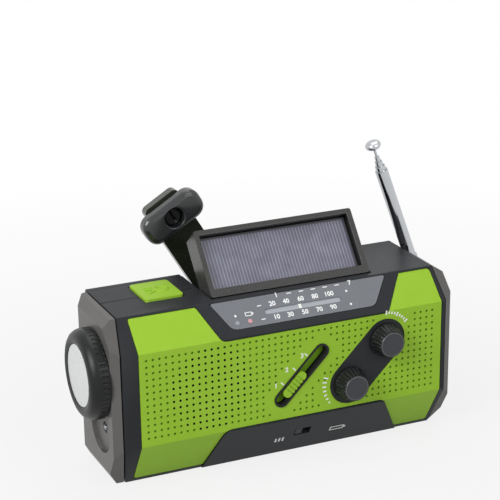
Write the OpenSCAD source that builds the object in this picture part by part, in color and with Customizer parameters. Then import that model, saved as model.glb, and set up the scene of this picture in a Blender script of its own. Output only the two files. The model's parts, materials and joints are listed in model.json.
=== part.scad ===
// Emergency radio with hand crank, folding solar flap, torch and telescopic antenna.
// X runs along the radio, Y from the front to the rear, Z up from the table.

/* [Housing] */
// Length of the housing between its end caps
body_len = 142.8; // [136:0.2:150]
// Height of the housing
body_h = 71; // [69:0.5:76]
// Depth of the housing from front face to rear wall
body_d = 48.5; // [47.5:0.5:54]
// Height of the crease under the upper front slope
crease_hi = 59.2; // [58:0.2:60]
// Height of the crease above the lower front slope
crease_lo = 19.8; // [19:0.2:21]
// Depth of the upper front slope
slope_top = 12.1; // [11:0.1:13]
// Depth of the lower front slope
slope_bot = 12.3; // [11:0.1:13]
// How far the left end leans in at the top
taper_top = 2.8; // [1:0.1:3.5]
// How far the left end leans in at the base
taper_bot = 3.7; // [1:0.1:4]
// Wall of the housing
wall = 2.8; // [2.6:0.1:3.2]
// Thickness of the rear cover
cover_t = 2.6; // [2.2:0.1:3]

/* [Fascia] */
// Thickness of the green fascia
fascia_t = 1.6; // [1.2:0.1:1.8]
// Dark border at the left of the fascia
fascia_left = 7; // [5:0.5:8]
// Dark border at the right of the fascia
fascia_right = 2; // [1.6:0.1:2.4]
// Gap round every panel that is let into the housing
seam = 0.25; // [0.15:0.05:0.35]
// Distance between the grille dots
dot_pitch = 2.75; // [2.7:0.01:2.8]
// Diameter of a grille dot
dot_d = 1.05; // [0.8:0.05:1.3]
// Depth of the blind grille dots
dimple = 0.6; // [0.3:0.1:0.8]
// Radius of the pierced grille over the loudspeaker
grille_r = 17.4; // [15:0.1:17.6]

/* [Controls] */
// Middle of the dial, the flap and the switch tray along the radio
layout_x = 7.7; // [7:0.1:8.2]
// Diameter of a knob at its skirt
knob_d = 14.4; // [13:0.1:15]
// Diameter of a knob at its cap
knob_cap_d = 10.8; // [9:0.1:11.4]
// Height of a knob above the fascia
knob_h = 6.5; // [5:0.1:9]
// Diameter of the knob shafts
shaft_d = 6; // [5:0.1:6.4]
// Radial clearance of every turning fit
run = 0.06; // [0.03:0.01:0.1]
// Clearance of every sliding piece
slide_gap = 0.3; // [0.2:0.05:0.4]

/* [Solar flap] */
// Width of the flap
flap_w = 71; // [66:0.5:73]
// Length of the flap from its hinge edge
flap_l = 29; // [27:0.1:29.5]
// Thickness of the flap
flap_t = 10; // [9:0.1:10.4]
// Rim of the flap round the solar cell
flap_rim = 2.2; // [2:0.1:3]
// How deep the solar cell lies below the rim
cell_sunk = 3.9; // [2:0.1:4]
// Angle of the flap above the top of the housing as it stands open
flap_open = 51; // [40:1:60]

/* [Crank] */
// Distance from the crank shaft to the grip
crank_r = 64; // [60:0.5:68]
// Width of the crank arm
arm_w = 17; // [14:0.5:18]
// Thickness of the crank arm
arm_t = 4.2; // [3.6:0.1:5]
// Lean of the crank to the left as it stands
crank_lean = 31; // [25:1:36]
// Length of the grip across the arm
grip_l = 28; // [24:0.5:30]
// Width of the grip
grip_w = 13; // [12.5:0.1:15]
// Depth of the grip
grip_h = 6.8; // [5:0.1:7]
// Module of the gear teeth
gear_m = 0.8; // [0.75:0.01:0.82]

/* [Antenna] */
// Diameter of the widest antenna tube
antenna_d = 5.5; // [5:0.1:6]
// Length of the widest antenna tube
antenna_l = 47; // [40:0.5:50]
// Lean of the antenna to the left as it stands
antenna_lean = 19.9; // [15:0.1:20]

/* [Torch] */
// Diameter of the torch bezel
torch_d = 37; // [34:0.5:38]
// How far the torch bezel stands out of the end cap
torch_h = 8; // [6:0.5:9]
// Diameter of the torch lens
lens_d = 23; // [20:0.5:25]

/* [Hidden] */
$fn = 48;
fine = 0.01;

// Ends of the housing and its outlines
xl = -body_len / 2;
xr = body_len / 2;
taper_right = 0.4;
cap_gap = 0.5;
profile = [
    [0, crease_lo], [0, crease_hi], [slope_top, body_h],
    [body_d, body_h], [body_d, 0], [slope_bot, 0]
];
front_view = [
    [xl, crease_lo], [xl, crease_hi], [xl + taper_top, body_h],
    [xr - taper_right, body_h], [xr, crease_hi], [xr, crease_lo],
    [xr - taper_right, 0], [xl + taper_bot, 0]
];

// Unit vector, and the point where two offset edges of an outline meet
function unit(v) = v / norm(v);
function turn(v) = [v[1], -v[0]];
function meet(a, u, b, v) = a + u * ((b - a) * turn(v)) / (u * turn(v));
// Outline moved inwards by w where its points run clockwise
function inset(p, w) = [
    for (i = [0:len(p) - 1])
        let (h = (i + len(p) - 1) % len(p), u = unit(p[i] - p[h]), v = unit(p[(i + 1) % len(p)] - p[i]))
            meet(p[h] + turn(u) * w, u, p[i] + turn(v) * w, v)
];
// Outline with each corner rounded by an arc
function arc_corner(a, b, c, r, n) =
    let (u = unit(a - b), v = unit(c - b), half = acos(u * v) / 2, m = b + unit(u + v) * r / sin(half))
    let (p = b + u * r / tan(half) - m, q = b + v * r / tan(half) - m)
    let (s = atan2(p[1], p[0]), d = atan2(q[1], q[0]) - s, e = d > 180 ? d - 360 : d < -180 ? d + 360 : d)
        [for (k = [0:n]) m + r * [cos(s + e * k / n), sin(s + e * k / n)]];
function rounded(p, r, n = 5) = [
    for (i = [0:len(p) - 1])
        let (b = p[i], a = p[(i + len(p) - 1) % len(p)], c = p[(i + 1) % len(p)], ri = is_list(r) ? r[i] : r)
            each ri > 0 ? arc_corner(a, b, c, ri, n) : [b]
];
function rect(x0, y0, x1, y1) = [[x0, y0], [x0, y1], [x1, y1], [x1, y0]];

// Outline of the YZ plane drawn along X, and of the XZ plane drawn along Y
module along_x(p, x0, x1) {
    translate([x0, 0, 0])
        rotate([90, 0, 90])
            linear_extrude(x1 - x0)
                polygon(p);
}
module along_y(p, y0, y1) {
    translate([0, y1, 0])
        rotate([90, 0, 0])
            linear_extrude(y1 - y0)
                polygon(p);
}
module rod_y(x, z, r, y0, y1) {
    translate([x, y1, z])
        rotate([90, 0, 0])
            cylinder(r = r, h = y1 - y0);
}
module rod_x(y, z, r, x0, x1) {
    translate([x0, y, z])
        rotate([0, 90, 0])
            cylinder(r = r, h = x1 - x0);
}
module block(x0, y0, z0, x1, y1, z1) {
    translate([x0, y0, z0])
        cube([x1 - x0, y1 - y0, z1 - z0]);
}

// Places of the controls on the front
knob_lo = [layout_x + 19.3, 30.6];
knob_hi = [layout_x + 35.5, 46.9];
pill_r = 9;
slot_lo = [layout_x - 11.4, 29];
slot_hi = [layout_x + 6.3, 46.9];
slot_r = 2.5;
slot_dir = unit(slot_hi - slot_lo);
slider_at = slot_lo + slot_dir * 8;
slider_len = 8.9;
slider_r = 1.9;
speaker_x = xl + 37.4;
speaker_z = (crease_lo + crease_hi) / 2;

// Outline of the fascia, with the dial surround above and the switch tray below
dial_top = [-43.6, 47.5];
dial_bot = [-37, 36.5];
dial_foot = crease_hi - 1;
tray_top = 0.5;
tray_x0 = [-36.3, 35];
tray_x1 = [-42.1, 46.3];
fascia_lo = 1.7;
fascia_hi = body_h - 0.9;
tray_z = crease_lo + tray_top;
fx0 = xl + fascia_left;
fx1 = xr - fascia_right;
fascia_edge = [
    [fx0, fascia_lo], [fx0, fascia_hi], [layout_x + dial_top[0], fascia_hi],
    [layout_x + dial_bot[0], dial_foot], [layout_x + dial_bot[1], dial_foot],
    [layout_x + dial_top[1], fascia_hi], [fx1, fascia_hi], [fx1, fascia_lo],
    [layout_x + tray_x1[1], fascia_lo], [layout_x + tray_x0[1], tray_z],
    [layout_x + tray_x0[0], tray_z], [layout_x + tray_x1[0], fascia_lo]
];
fascia_round = [1, 1, 1, 4, 4, 1, 1, 1, 1, 4, 4, 1];
// Raised tray, its sides carried on below the table edge of the fascia
tray_low = (tray_z + 2) / (tray_z - fascia_lo);
tray_edge = [
    fascia_edge[10] + tray_low * (fascia_edge[11] - fascia_edge[10]), fascia_edge[10],
    fascia_edge[9], fascia_edge[9] + tray_low * (fascia_edge[8] - fascia_edge[9])
];
slab = inset(profile, fascia_t);
skin = [
    profile[5], profile[0], profile[1], profile[2],
    slab[2], slab[1], slab[0], slab[5]
];

// Flap recess and hinge
flap_x0 = layout_x + 1 - flap_w / 2;
flap_x1 = flap_x0 + flap_w;
flap_gap = 0.5;
hinge_y = 21.4;
hinge_z = body_h - 1.8;
hinge_r = 1;
hinge_lip = 1.9;
hinge_below = 5.5;
hinge_depth = 4;
recess_y = hinge_y - norm([hinge_lip, hinge_below]) - 0.6;
recess_z = hinge_z - (flap_t - hinge_below) - 1.8;
recess_wall = 2;
frame_t = 1.2;

// Crank and gear train
crank_x = 5;
crank_z = 40;
crank_shaft_r = 3;
hub_r = 9;
hub_y0 = body_d + 0.5;
hub_y1 = body_d + 6.4;
arm_y0 = body_d + 8.8;
fold_y = arm_y0 + arm_t / 2;
fold_r = 1.5;
tongue_w = 8;
ear_t = 3.2;
eye_r = 3.2;
teeth = [40, 16, 36, 12];
gear_play = 0.12;
idler_turn = 210;
rotor_turn = 330;
idler_gap = gear_m * (teeth[0] + teeth[1]) / 2 + gear_play;
rotor_gap = gear_m * (teeth[2] + teeth[3]) / 2 + gear_play;
idler_at = [crank_x, crank_z] + idler_gap * [cos(idler_turn), sin(idler_turn)];
rotor_at = idler_at + rotor_gap * [cos(rotor_turn), sin(rotor_turn)];
gear_y = body_d - cover_t - 5.6;
gear_w = 4;
gear_b_y = gear_y - 4.6;
plate_y = gear_b_y - 3.2;
plate_t = 2;

// Antenna
pivot = [xr + 6.6, 40, 62];
tube_wall = 0.25;
tube_step = 0.55;
tube_out = 2.2;
fork_gap = 4;
swivel_r = 2.5;
swivel_z = pivot[2] - 14;

// Torch and end caps
cap_t = 3.9;
torch_y = 20;
torch_z = 46.5;
cap_face = xl - cap_t;

function gear_points(n, m, phase) =
    let (rp = m * n / 2, ro = rp + 0.9 * m, ri = rp - 1.1 * m, step = 360 / n)
        [for (i = [0:n - 1]) for (q = [[ri, -0.34], [ri, -0.29], [ro, -0.11], [ro, 0.11], [ri, 0.29]])
            q[0] * [cos(phase + (i + q[1]) * step), sin(phase + (i + q[1]) * step)]];
module gear(at, n, phase, y0, y1, bore) {
    difference() {
        translate([at[0], y1, at[1]])
            rotate([90, 0, 0])
                linear_extrude(y1 - y0)
                    polygon(gear_points(n, gear_m, phase));
        rod_y(at[0], at[1], bore, y0 - 1, y1 + 1);
    }
}

// Every piece is moved so that the origin lies in the middle of the base
base_mid = (slope_bot + body_d) / 2;
module seat() {
    translate([0, -base_mid, 0])
        children();
}

// Frames of the dial slope, the tray slope, the flap, the crank and the antenna
dial_angle = atan2(body_h - crease_hi, slope_top);
dial_len = norm([slope_top, body_h - crease_hi]);
tray_angle = atan2(crease_lo, slope_bot);
module at_dial() {
    translate([layout_x, 0, crease_hi])
        rotate([dial_angle, 0, 0])
            children();
}
module at_tray() {
    translate([layout_x, 0, crease_lo])
        rotate([180 - tray_angle, 0, 0])
            children();
}
module at_flap() {
    translate([0, hinge_y, hinge_z])
        rotate([flap_open, 0, 0])
            children();
}
module at_crank() {
    translate([crank_x, 0, crank_z])
        rotate([0, -crank_lean, 0])
            children();
}
module at_antenna() {
    translate(pivot)
        rotate([0, -antenna_lean, 0])
            children();
}

// Dial window, opening and plate in the plane of the dial slope
window_t = 1.2;
window_hi = dial_len - 0.8;
window_lo = 3.4;
window_edge = [[-31.2, window_lo], [-37.4, window_hi], [41, window_hi], [32, window_lo]];
dial_lo = 4.9;
dial_hi = 12.4;
dial_half = 30.2;
plate_half = 31.2;
dial_plate_t = 0.8;
pointer_w = 1.2;
led_x = [-28.5, -23];
led_r = 1;
// Tray switch and lamp button
switch_half = 3.6;
switch_lo = 8;
switch_hi = 12.4;
lever_x = -1.6;
lever_half = 1.6;
tray_pad = 0.7;
button_x0 = xl + 19.4;
button_x1 = button_x0 + 16.4;
button_y0 = 23.5;
button_y1 = 43;
button_up = 0.9;
// Decorative seam across the top at the lamp button
seam_y = 30;
seam_w = 0.5;
seam_depth = 0.4;
// Battery door, ports and screws
door_x0 = xr - 38;
door_x1 = xr - 3;
door_z1 = 57;
door_t = 1.6;
bay_lip = 1.5;
bay_z0 = 4.5;
bay_z1 = door_z1 - bay_lip;
bay_y = body_d - 13.3;
bay_wall = 1.2;
rail = 1;
rail_t = 0.6;
bay_x0 = door_x0 + bay_lip;
bay_x1 = door_x1 - bay_lip;
boss_r = 4;
screw_r = 1.3;
screw_head = 2.6;
boss_at = [[xl + 10, 6.4], [door_x0 - 4.2, 6.4], [xl + 10, body_h - 6.4], [xr - 8, body_h - 6.4]];
// Main board on four posts behind the controls
pot_y = wall + 0.3;
board_y = pot_y + 11;
board_t = 1.6;
board_posts = [[-5.5, 22.2], [-5.5, 53.5], [61.5, 53.5], [61.5, 23]];
port_y = 20;
port_z = 18;
port_w = 15;
port_h = 10;

module cavity(back) {
    p = inset(profile, wall);
    along_x([p[0], p[1], p[2], [back, p[3][1]], [back, p[4][1]], p[5]], xl - 9, xr + 9);
}
module recess(grow) {
    block(flap_x0 - flap_gap - grow, recess_y - grow, recess_z - grow,
          flap_x1 + flap_gap + grow, body_d + 9, body_h + 9);
}
module fascia_area(grow) {
    along_y(rounded(inset(fascia_edge, -grow), fascia_round), -5, body_d / 2);
}
module stadium_y(a, b, r, y0, y1) {
    n = turn(unit(b - a)) * r;
    rod_y(a[0], a[1], r, y0, y1);
    rod_y(b[0], b[1], r, y0, y1);
    along_y([a - n, b - n, b + n, a + n], y0, y1);
}

module front_housing() {
    color("#46484b") seat()
    difference() {
        union() {
            difference() {
                intersection() {
                    along_x(profile, xl - 1, xr + 1);
                    along_y(front_view, -1, body_d - cover_t);
                }
                difference() {
                    cavity(body_d + 9);
                    recess(recess_wall);
                }
            }
            difference() {
                intersection() {
                    along_x(inset(profile, -tray_pad), xl, xr);
                    along_y(rounded(inset(tray_edge, seam), [0, 4, 4, 0]), -5, slope_bot);
                    block(xl, -5, 0, xr, slope_bot, crease_lo);
                }
                cavity(body_d);
            }
            for (b = boss_at)
                rod_y(b[0], b[1], boss_r, body_d - cover_t - 12, body_d - cover_t);
            for (b = board_posts)
                rod_y(b[0], b[1], 2, wall - 1, board_y);
        }
        intersection() {
            along_x(skin, xl, xr);
            fascia_area(seam);
        }
        recess(0);
        rod_y(speaker_x, speaker_z, grille_r + 0.4, -1, 8);
        stadium_y(slot_lo, slot_hi, slot_r, -1, 8);
        for (k = [knob_lo, knob_hi])
            rod_y(k[0], k[1], shaft_d / 2 + 0.5, -1, 8);
        at_dial() {
            translate([0, 0, -window_t])
                linear_extrude(9)
                    polygon(rounded(inset(window_edge, -seam), [4, 0.6, 0.6, 4]));
            translate([-dial_half, dial_lo, -9])
                cube([2 * dial_half, dial_hi - dial_lo, 9]);
        }
        at_tray()
            translate([-switch_half, -switch_hi, -9])
                cube([2 * switch_half, switch_hi - switch_lo, 18]);
        block(button_x0 - slide_gap, button_y0 - slide_gap, body_h - 9,
              button_x1 + slide_gap, button_y1 + slide_gap, body_h + 9);
        block(xl - 1, seam_y, body_h - seam_depth, flap_x0 - 3, seam_y + seam_w, body_h + 1);
        for (x = [flap_x0, flap_x1])
            rod_x(hinge_y, hinge_z, hinge_r + fine, x - 4, x + 4);
        for (b = boss_at)
            rod_y(b[0], b[1], screw_r + fine, body_d - cover_t - 9, body_d);
    }
}

module rear_cover() {
    color("#3e4043") seat()
    difference() {
        union() {
            intersection() {
                along_x(profile, xl - 1, xr + 1);
                along_y(front_view, body_d - cover_t, body_d);
            }
            rod_y(crank_x, crank_z, crank_shaft_r + 4, body_d - cover_t - 1.2, body_d);
            block(bay_x0 - bay_wall, bay_y - bay_wall, bay_z0 - bay_wall,
                  bay_x1 + bay_wall, body_d - 2, bay_z1 + bay_wall);
        }
        recess(0);
        rod_y(crank_x, crank_z, crank_shaft_r + 1.5 + fine, body_d - 9, body_d + 1);
        block(door_x0 - slide_gap, body_d - door_t - slide_gap, -1, door_x1 + slide_gap, body_d + 1,
              door_z1 + slide_gap);
        block(door_x0 - rail - slide_gap, body_d - door_t - slide_gap, -1, door_x1 + rail + slide_gap,
              body_d - door_t + rail_t + slide_gap, door_z1 + slide_gap);
        block(bay_x0, bay_y, bay_z0, bay_x1, body_d + 1, bay_z1);
        for (b = boss_at) {
            rod_y(b[0], b[1], screw_r + 0.3, body_d - 9, body_d + 1);
            rod_y(b[0], b[1], screw_head + 0.3, body_d - 1.4, body_d + 1);
        }
    }
}

// Centre of grille dot i along, j up, and whether a control leaves room for it
dot_x0 = xl + 10;
dot_z0 = crease_lo + 3.4;
dots_x = 46;
dots_z = 12;
function dot(i, j) = [dot_x0 + i * dot_pitch, dot_z0 + j * dot_pitch];
function to_line(p, a, b) =
    let (t = max(0, min(1, (p - a) * (b - a) / ((b - a) * (b - a)))))
        norm(p - a - t * (b - a));
function in_fascia(p) =
    p[0] > fx0 + 1.5 && p[0] < fx1 - 1.2
    && p[1] < crease_hi - 1.6
    && !(p[1] > dial_foot - 2 && abs(p[0] - layout_x) < dial_bot[1] + 2);
function is_dot(p) =
    in_fascia(p)
    && to_line(p, slot_lo, slot_hi) > slot_r + 5
    && to_line(p, knob_lo, knob_hi) > pill_r + 1.3
    && !(norm(p - knob_hi) < pill_r + 6 && p[1] > knob_hi[1] + 4 && p[0] > knob_hi[0] - 2)
    && !(norm(p - knob_lo) < pill_r + 6 && p[0] < knob_lo[0] - 3 && p[1] < knob_lo[1] + 3);
function is_hole(p) = norm(p - [speaker_x, speaker_z]) < grille_r;

module front_fascia() {
    color("#8cbe2d") seat()
    difference() {
        intersection() {
            along_x(skin, xl, xr);
            fascia_area(0);
        }
        stadium_y(slot_lo, slot_hi, slot_r, -1, 8);
        stadium_y(knob_lo, knob_hi, pill_r, -1, 8);
        for (i = [0:dots_x]) {
            for (j = [0:dots_z]) {
                p = dot(i, j);
                if (is_dot(p))
                    rod_y(p[0], p[1], dot_d / 2, -1, is_hole(p) ? 8 : dimple, $fn = 16);
            }
        }
    }
}

// End cap blank: the body's outline drawn out with sloping borders
module cap_blank(side) {
    x0 = side < 0 ? xl : xr;
    x1 = x0 + side * cap_t;
    far = x0 - side * 6;
    intersection() {
        along_x(inset(profile, 0.3), min(x1, far), max(x1, far));
        translate([0, 0, -1])
            linear_extrude(body_h + 2)
                polygon([[far, -1], [x0, 0.3], [x1, 3], [x1, 39], [x0, body_d - 3], [far, body_d - 1]]);
        along_y([[far, 0.3], [x0, 0.3], [x1, 7], [x1, body_h - 2.6], [x0, body_h - 0.3], [far, body_h - 0.3]],
                -1, body_d);
    }
}
module cap_plug(side) {
    x0 = side < 0 ? xl : xr;
    p = inset(profile, wall);
    back = body_d - cover_t;
    rim = inset(p, 1.6);
    x1 = x0 - side * 2;
    difference() {
        along_x([p[0], p[1], p[2], [back, p[3][1]], [back, p[4][1]], p[5]], min(x0, x1) - 1, max(x0, x1) + 1);
        along_x([rim[0], rim[1], rim[2], [back - 1.6, rim[3][1]], [back - 1.6, rim[4][1]], rim[5]],
                min(x0, x1) - 2, max(x0, x1) + 2);
    }
}
function grown_view(g) = [for (i = [0:len(front_view) - 1])
    front_view[i] + [front_view[i][0] < 0 ? -g : g, 0]];
module left_end_cap() {
    color("#4a4b4d") seat()
    difference() {
        union() {
            difference() {
                cap_blank(-1);
                along_y(grown_view(cap_gap), -5, body_d + 5);
            }
            difference() {
                cap_plug(-1);
                block(xl - 9, -5, -5, xl - cap_gap, body_d + 5, body_h + 5);
            }
            difference() {
                along_x(inset(profile, wall), xl - cap_gap - fine, xl + 1.2);
                block(xl - 9, body_d - cover_t, -5, xl + 9, body_d + 5, body_h + 5);
            }
        }
        rod_x(torch_y, torch_z, torch_d / 2 - 4.4, xl - 9, xl + 9);
        rod_x(torch_y - 2.5, 25, 11.5, cap_face - 1, cap_face + 1.6);
        rod_x(torch_y - 3.7, 24, 2.4, xl - 9, xl - cap_gap);
    }
}
module right_end_cap() {
    color("#4a4b4d") seat()
    difference() {
        union() {
            difference() {
                cap_blank(1);
                along_y(grown_view(cap_gap), -5, body_d + 5);
            }
            difference() {
                cap_plug(1);
                block(xr + cap_gap, -5, -5, xr + 9, body_d + 5, body_h + 5);
            }
            difference() {
                along_x(inset(profile, wall), xr - 1.2, xr + cap_gap + fine);
                block(xr - 9, body_d - cover_t, -5, xr + 9, body_d + 5, body_h + 5);
            }
            translate([pivot[0], pivot[1], swivel_z - 10])
                cylinder(r = 5, h = 10);
            block(xr + cap_gap, pivot[1] - 5, swivel_z - 10, pivot[0], pivot[1] + 5, swivel_z);
        }
        translate([pivot[0], pivot[1], swivel_z - 7])
            cylinder(r = swivel_r + run, h = 99);
        block(xr + 0.6, pivot[1] - 6.2, swivel_z, xr + 99, pivot[1] + 6.2, body_h + 9);
        block(xr - 9, port_y - port_w / 2, port_z - port_h / 2,
              xr + 9, port_y + port_w / 2, port_z + port_h / 2);
        block(xr + cap_t - 1.2, port_y - port_w / 2 - 2.3, port_z - port_h / 2 - 2.3, xr + 9,
              port_y + port_w / 2 + 2.3, port_z + port_h / 2 + 3);
    }
}

module dial_window() {
    color("#73767d") seat()
    at_dial()
        translate([0, 0, -window_t])
            linear_extrude(window_t)
                polygon(rounded(window_edge, [4, 0.6, 0.6, 4]));
}
module dial_plate() {
    color("#5c5f66") seat()
    at_dial()
        translate([-plate_half, dial_lo - 1, -wall - dial_plate_t])
            cube([2 * plate_half, dial_hi - dial_lo + 2, dial_plate_t]);
}
module tuning_pointer() {
    color("#f2f2f0") seat()
    at_dial()
        translate([-pointer_w / 2, dial_lo + 0.6, -wall + slide_gap])
            cube([pointer_w, dial_hi - dial_lo - 1.2, wall - window_t - 2 * slide_gap]);
}
module indicator_leds() {
    color("#d9a0a8") seat()
    at_dial()
        for (x = led_x)
            translate([x, dial_lo + 1.6, -wall])
                cylinder(r = led_r, h = wall - window_t);
}
module knob_plate() {
    color("#3a3c3f") seat()
    difference() {
        stadium_y(knob_lo, knob_hi, pill_r - seam, 0, fascia_t);
        for (k = [knob_lo, knob_hi])
            rod_y(k[0], k[1], shaft_d / 2 + 0.5, -1, 8);
    }
}

// Control knob: tapered skirt with grip flutes, flat cap and blind shaft bore
flutes = 24;
knob_gap = 0.35;
shaft_in = 4;
module knob(at) {
    difference() {
        translate([at[0], 0, at[1]])
            rotate([90, 0, 0])
                rotate_extrude()
                    polygon([[0, knob_gap], [knob_d / 2, knob_gap], [knob_d / 2, knob_gap + 1],
                             [knob_cap_d / 2 + 0.4, knob_h - 0.5], [knob_cap_d / 2, knob_h],
                             [knob_cap_d / 2 - 0.8, knob_h], [knob_cap_d / 2 - 1.1, knob_h - 0.25],
                             [0, knob_h - 0.25]]);
        for (i = [0:flutes - 1])
            translate([at[0], 0, at[1]])
                rotate([0, i * 360 / flutes, 0])
                    translate([knob_cap_d / 2 + 0.55, -knob_h, 0])
                        rotate([-90, 0, -atan((knob_d - knob_cap_d) / 2 / knob_h)])
                            cylinder(r = 0.6, h = knob_h * 0.78, $fn = 16);
        rod_y(at[0], at[1], shaft_d / 2 + fine, -shaft_in, 1);
    }
}
module shaft(at) {
    rod_y(at[0], at[1], shaft_d / 2, -shaft_in, pot_y + 1.5);
}
module tuning_knob() { color("#3b3d40") seat() knob(knob_hi); }
module volume_knob() { color("#3b3d40") seat() knob(knob_lo); }
module tuning_shaft() { color("#b9bcc0") seat() shaft(knob_hi); }
module volume_shaft() { color("#b9bcc0") seat() shaft(knob_lo); }
module tuning_capacitor() {
    color("#d8d4c8") seat()
    difference() {
        block(knob_hi[0] - 8, pot_y, knob_hi[1] - 8, knob_hi[0] + 8, board_y, knob_hi[1] + 8);
        rod_y(knob_hi[0], knob_hi[1], shaft_d / 2 + run, pot_y - 1, pot_y + 2);
    }
}
module volume_pot() {
    color("#8f9398") seat()
    difference() {
        rod_y(knob_lo[0], knob_lo[1], 8, pot_y, board_y);
        rod_y(knob_lo[0], knob_lo[1], shaft_d / 2 + run, pot_y - 1, pot_y + 2);
    }
}
slider_lo = slider_at - slot_dir * slider_len / 2;
slider_hi = slider_at + slot_dir * slider_len / 2;
slider_ribs = 5;
module band_slider() {
    color("#8cbe2d") seat()
    difference() {
        stadium_y(slider_lo, slider_hi, slider_r, -0.8, wall + slide_gap);
        for (i = [0:slider_ribs - 1])
            translate([slider_at[0], -0.8, slider_at[1]])
                rotate([0, -atan2(slot_dir[1], slot_dir[0]), 0])
                    translate([(i - (slider_ribs - 1) / 2) * 1.7 - 0.35, -0.5, -4])
                        cube([0.7, 1, 8]);
    }
}
module band_switch() {
    color("#2c2d2f") seat()
    stadium_y(slot_lo, slot_hi, slot_r + 2, wall + slide_gap + slide_gap, board_y);
}
module source_switch() {
    color("#1d1e20") seat()
    at_tray()
        translate([lever_x - lever_half, slide_gap - switch_hi, slide_gap - wall])
            cube([2 * lever_half, switch_hi - switch_lo - 2 * slide_gap, wall + 0.2]);
}
module source_switch_body() {
    color("#8f9398") seat()
    at_tray()
        translate([-switch_half - 1.4, -switch_hi - 1.2, -wall - 4.4])
            cube([2 * switch_half + 2.8, switch_hi - switch_lo + 2.4, 4.3]);
}
button_foot = body_h - 5;
button_travel = 1.2;
module lamp_button() {
    color("#8cbe2d") seat()
    union() {
        translate([0, 0, button_foot])
            linear_extrude(body_h + button_up - button_foot)
                polygon(rounded(rect(button_x0, button_y0, button_x1, button_y1), 1.6));
        block(button_x0 - 1.5, button_y0 - 1.5, button_foot, button_x1 + 1.5, button_y1 + 1.5,
              body_h - wall - slide_gap);
    }
}
module lamp_switch() {
    color("#55585c") seat()
    union() {
        block(button_x0 - 4.5, 25, button_foot - 4.4, button_x1 + 4.5, 41, button_foot - 2.8);
        block(button_x0 - 4.5, 25, button_foot - 3, button_x0 - 2.7, 41, body_h - wall);
        block(button_x1 + 2.7, 25, button_foot - 3, button_x1 + 4.5, 41, body_h - wall);
        translate([(button_x0 + button_x1) / 2, 33, button_foot - 3])
            cylinder(r = 2.5, h = 3 - button_travel - 0.1);
    }
}

// Solar flap
flap_top = hinge_below;
flap_bed = flap_top - cell_sunk - 1.6;
cell_y0 = 3.5;
module flap_frame() {
    color("#78766f") seat()
    at_flap()
        translate([0, 0, flap_top - frame_t])
            difference() {
                linear_extrude(frame_t)
                    polygon(rounded(rect(flap_x0, -hinge_lip, flap_x1, flap_l - hinge_lip), 1));
                translate([0, 0, -1])
                    linear_extrude(frame_t + 2)
                        polygon(rect(flap_x0 + flap_rim, cell_y0 - hinge_lip, flap_x1 - flap_rim,
                                     flap_l - hinge_lip - flap_rim));
            }
}
module flap_shell() {
    color("#5f5e5a") seat()
    at_flap()
        difference() {
            translate([0, 0, flap_top - flap_t])
                linear_extrude(flap_t - frame_t)
                    polygon(rounded(rect(flap_x0, -hinge_lip, flap_x1, flap_l - hinge_lip), 1));
            translate([0, 0, flap_bed])
                linear_extrude(flap_t)
                    polygon(rect(flap_x0 + 2, cell_y0 - hinge_lip, flap_x1 - 2, flap_l - hinge_lip - 2));
            for (x = [flap_x0, flap_x1])
                rod_x(0, 0, hinge_r + run, x - hinge_depth, x + hinge_depth);
            translate([layout_x + 1 - 26, 8, flap_top - flap_t - 1])
                cube([52, 9, 2]);
        }
}
module solar_cell() {
    color("#5b5a72") seat()
    at_flap()
        translate([flap_x0 + 2.2, cell_y0 + 0.2 - hinge_lip, flap_bed])
            cube([flap_w - 4.4, flap_l - cell_y0 - 2.4, 1.6]);
}
module reading_lamp() {
    color("#f4f4ee") seat()
    at_flap()
        translate([layout_x + 1 - 25.8, 8.2, flap_top - flap_t - 0.5])
            cube([51.6, 8.6, 1.5]);
}
module flap_pins() {
    color("#c0c3c7") seat() {
        rod_x(hinge_y, hinge_z, hinge_r, flap_x0 - flap_gap - recess_wall, flap_x0 + hinge_depth - 0.3);
        rod_x(hinge_y, hinge_z, hinge_r, flap_x1 - hinge_depth + 0.3, flap_x1 + flap_gap + recess_wall);
    }
}

// Crank
module crank_hub() {
    color("#2b2d2f") seat()
    difference() {
        union() {
            at_crank() {
                rod_y(0, 0, hub_r, hub_y0, hub_y1);
                for (x = [-tongue_w / 2 - 0.2 - ear_t, tongue_w / 2 + 0.2])
                    along_x(rounded(rect(hub_y1 - 1, -4, fold_y + 3.4, 4), [0, 0, 3.4, 3.4]), x, x + ear_t);
            }
            rod_y(crank_x, crank_z, crank_shaft_r, plate_y, hub_y0 + 1);
        }
        at_crank()
            rod_x(fold_y, 0, fold_r + fine, -20, 20);
    }
}
module crank_arm() {
    color("#232527") seat()
    at_crank()
        difference() {
            union() {
                block(-tongue_w / 2, arm_y0, 0, tongue_w / 2, arm_y0 + arm_t, 14);
                rod_x(fold_y, 0, eye_r, -tongue_w / 2, tongue_w / 2);
                along_y(rounded(rect(-arm_w / 2, 12, arm_w / 2, crank_r + 7.5), [3, 2.5, 2.5, 3]),
                        arm_y0, arm_y0 + arm_t);
            }
            rod_x(fold_y, 0, fold_r + run, -20, 20);
            rod_y(0, crank_r, 2.5 + fine, arm_y0 - 1, arm_y0 + 9);
        }
}
module fold_pin() {
    color("#c0c3c7") seat()
    at_crank()
        rod_x(fold_y, 0, fold_r, -tongue_w / 2 - ear_t, tongue_w / 2 + ear_t);
}
grip_y1 = arm_y0 - slide_gap;
grip_y0 = grip_y1 - grip_h;
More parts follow.
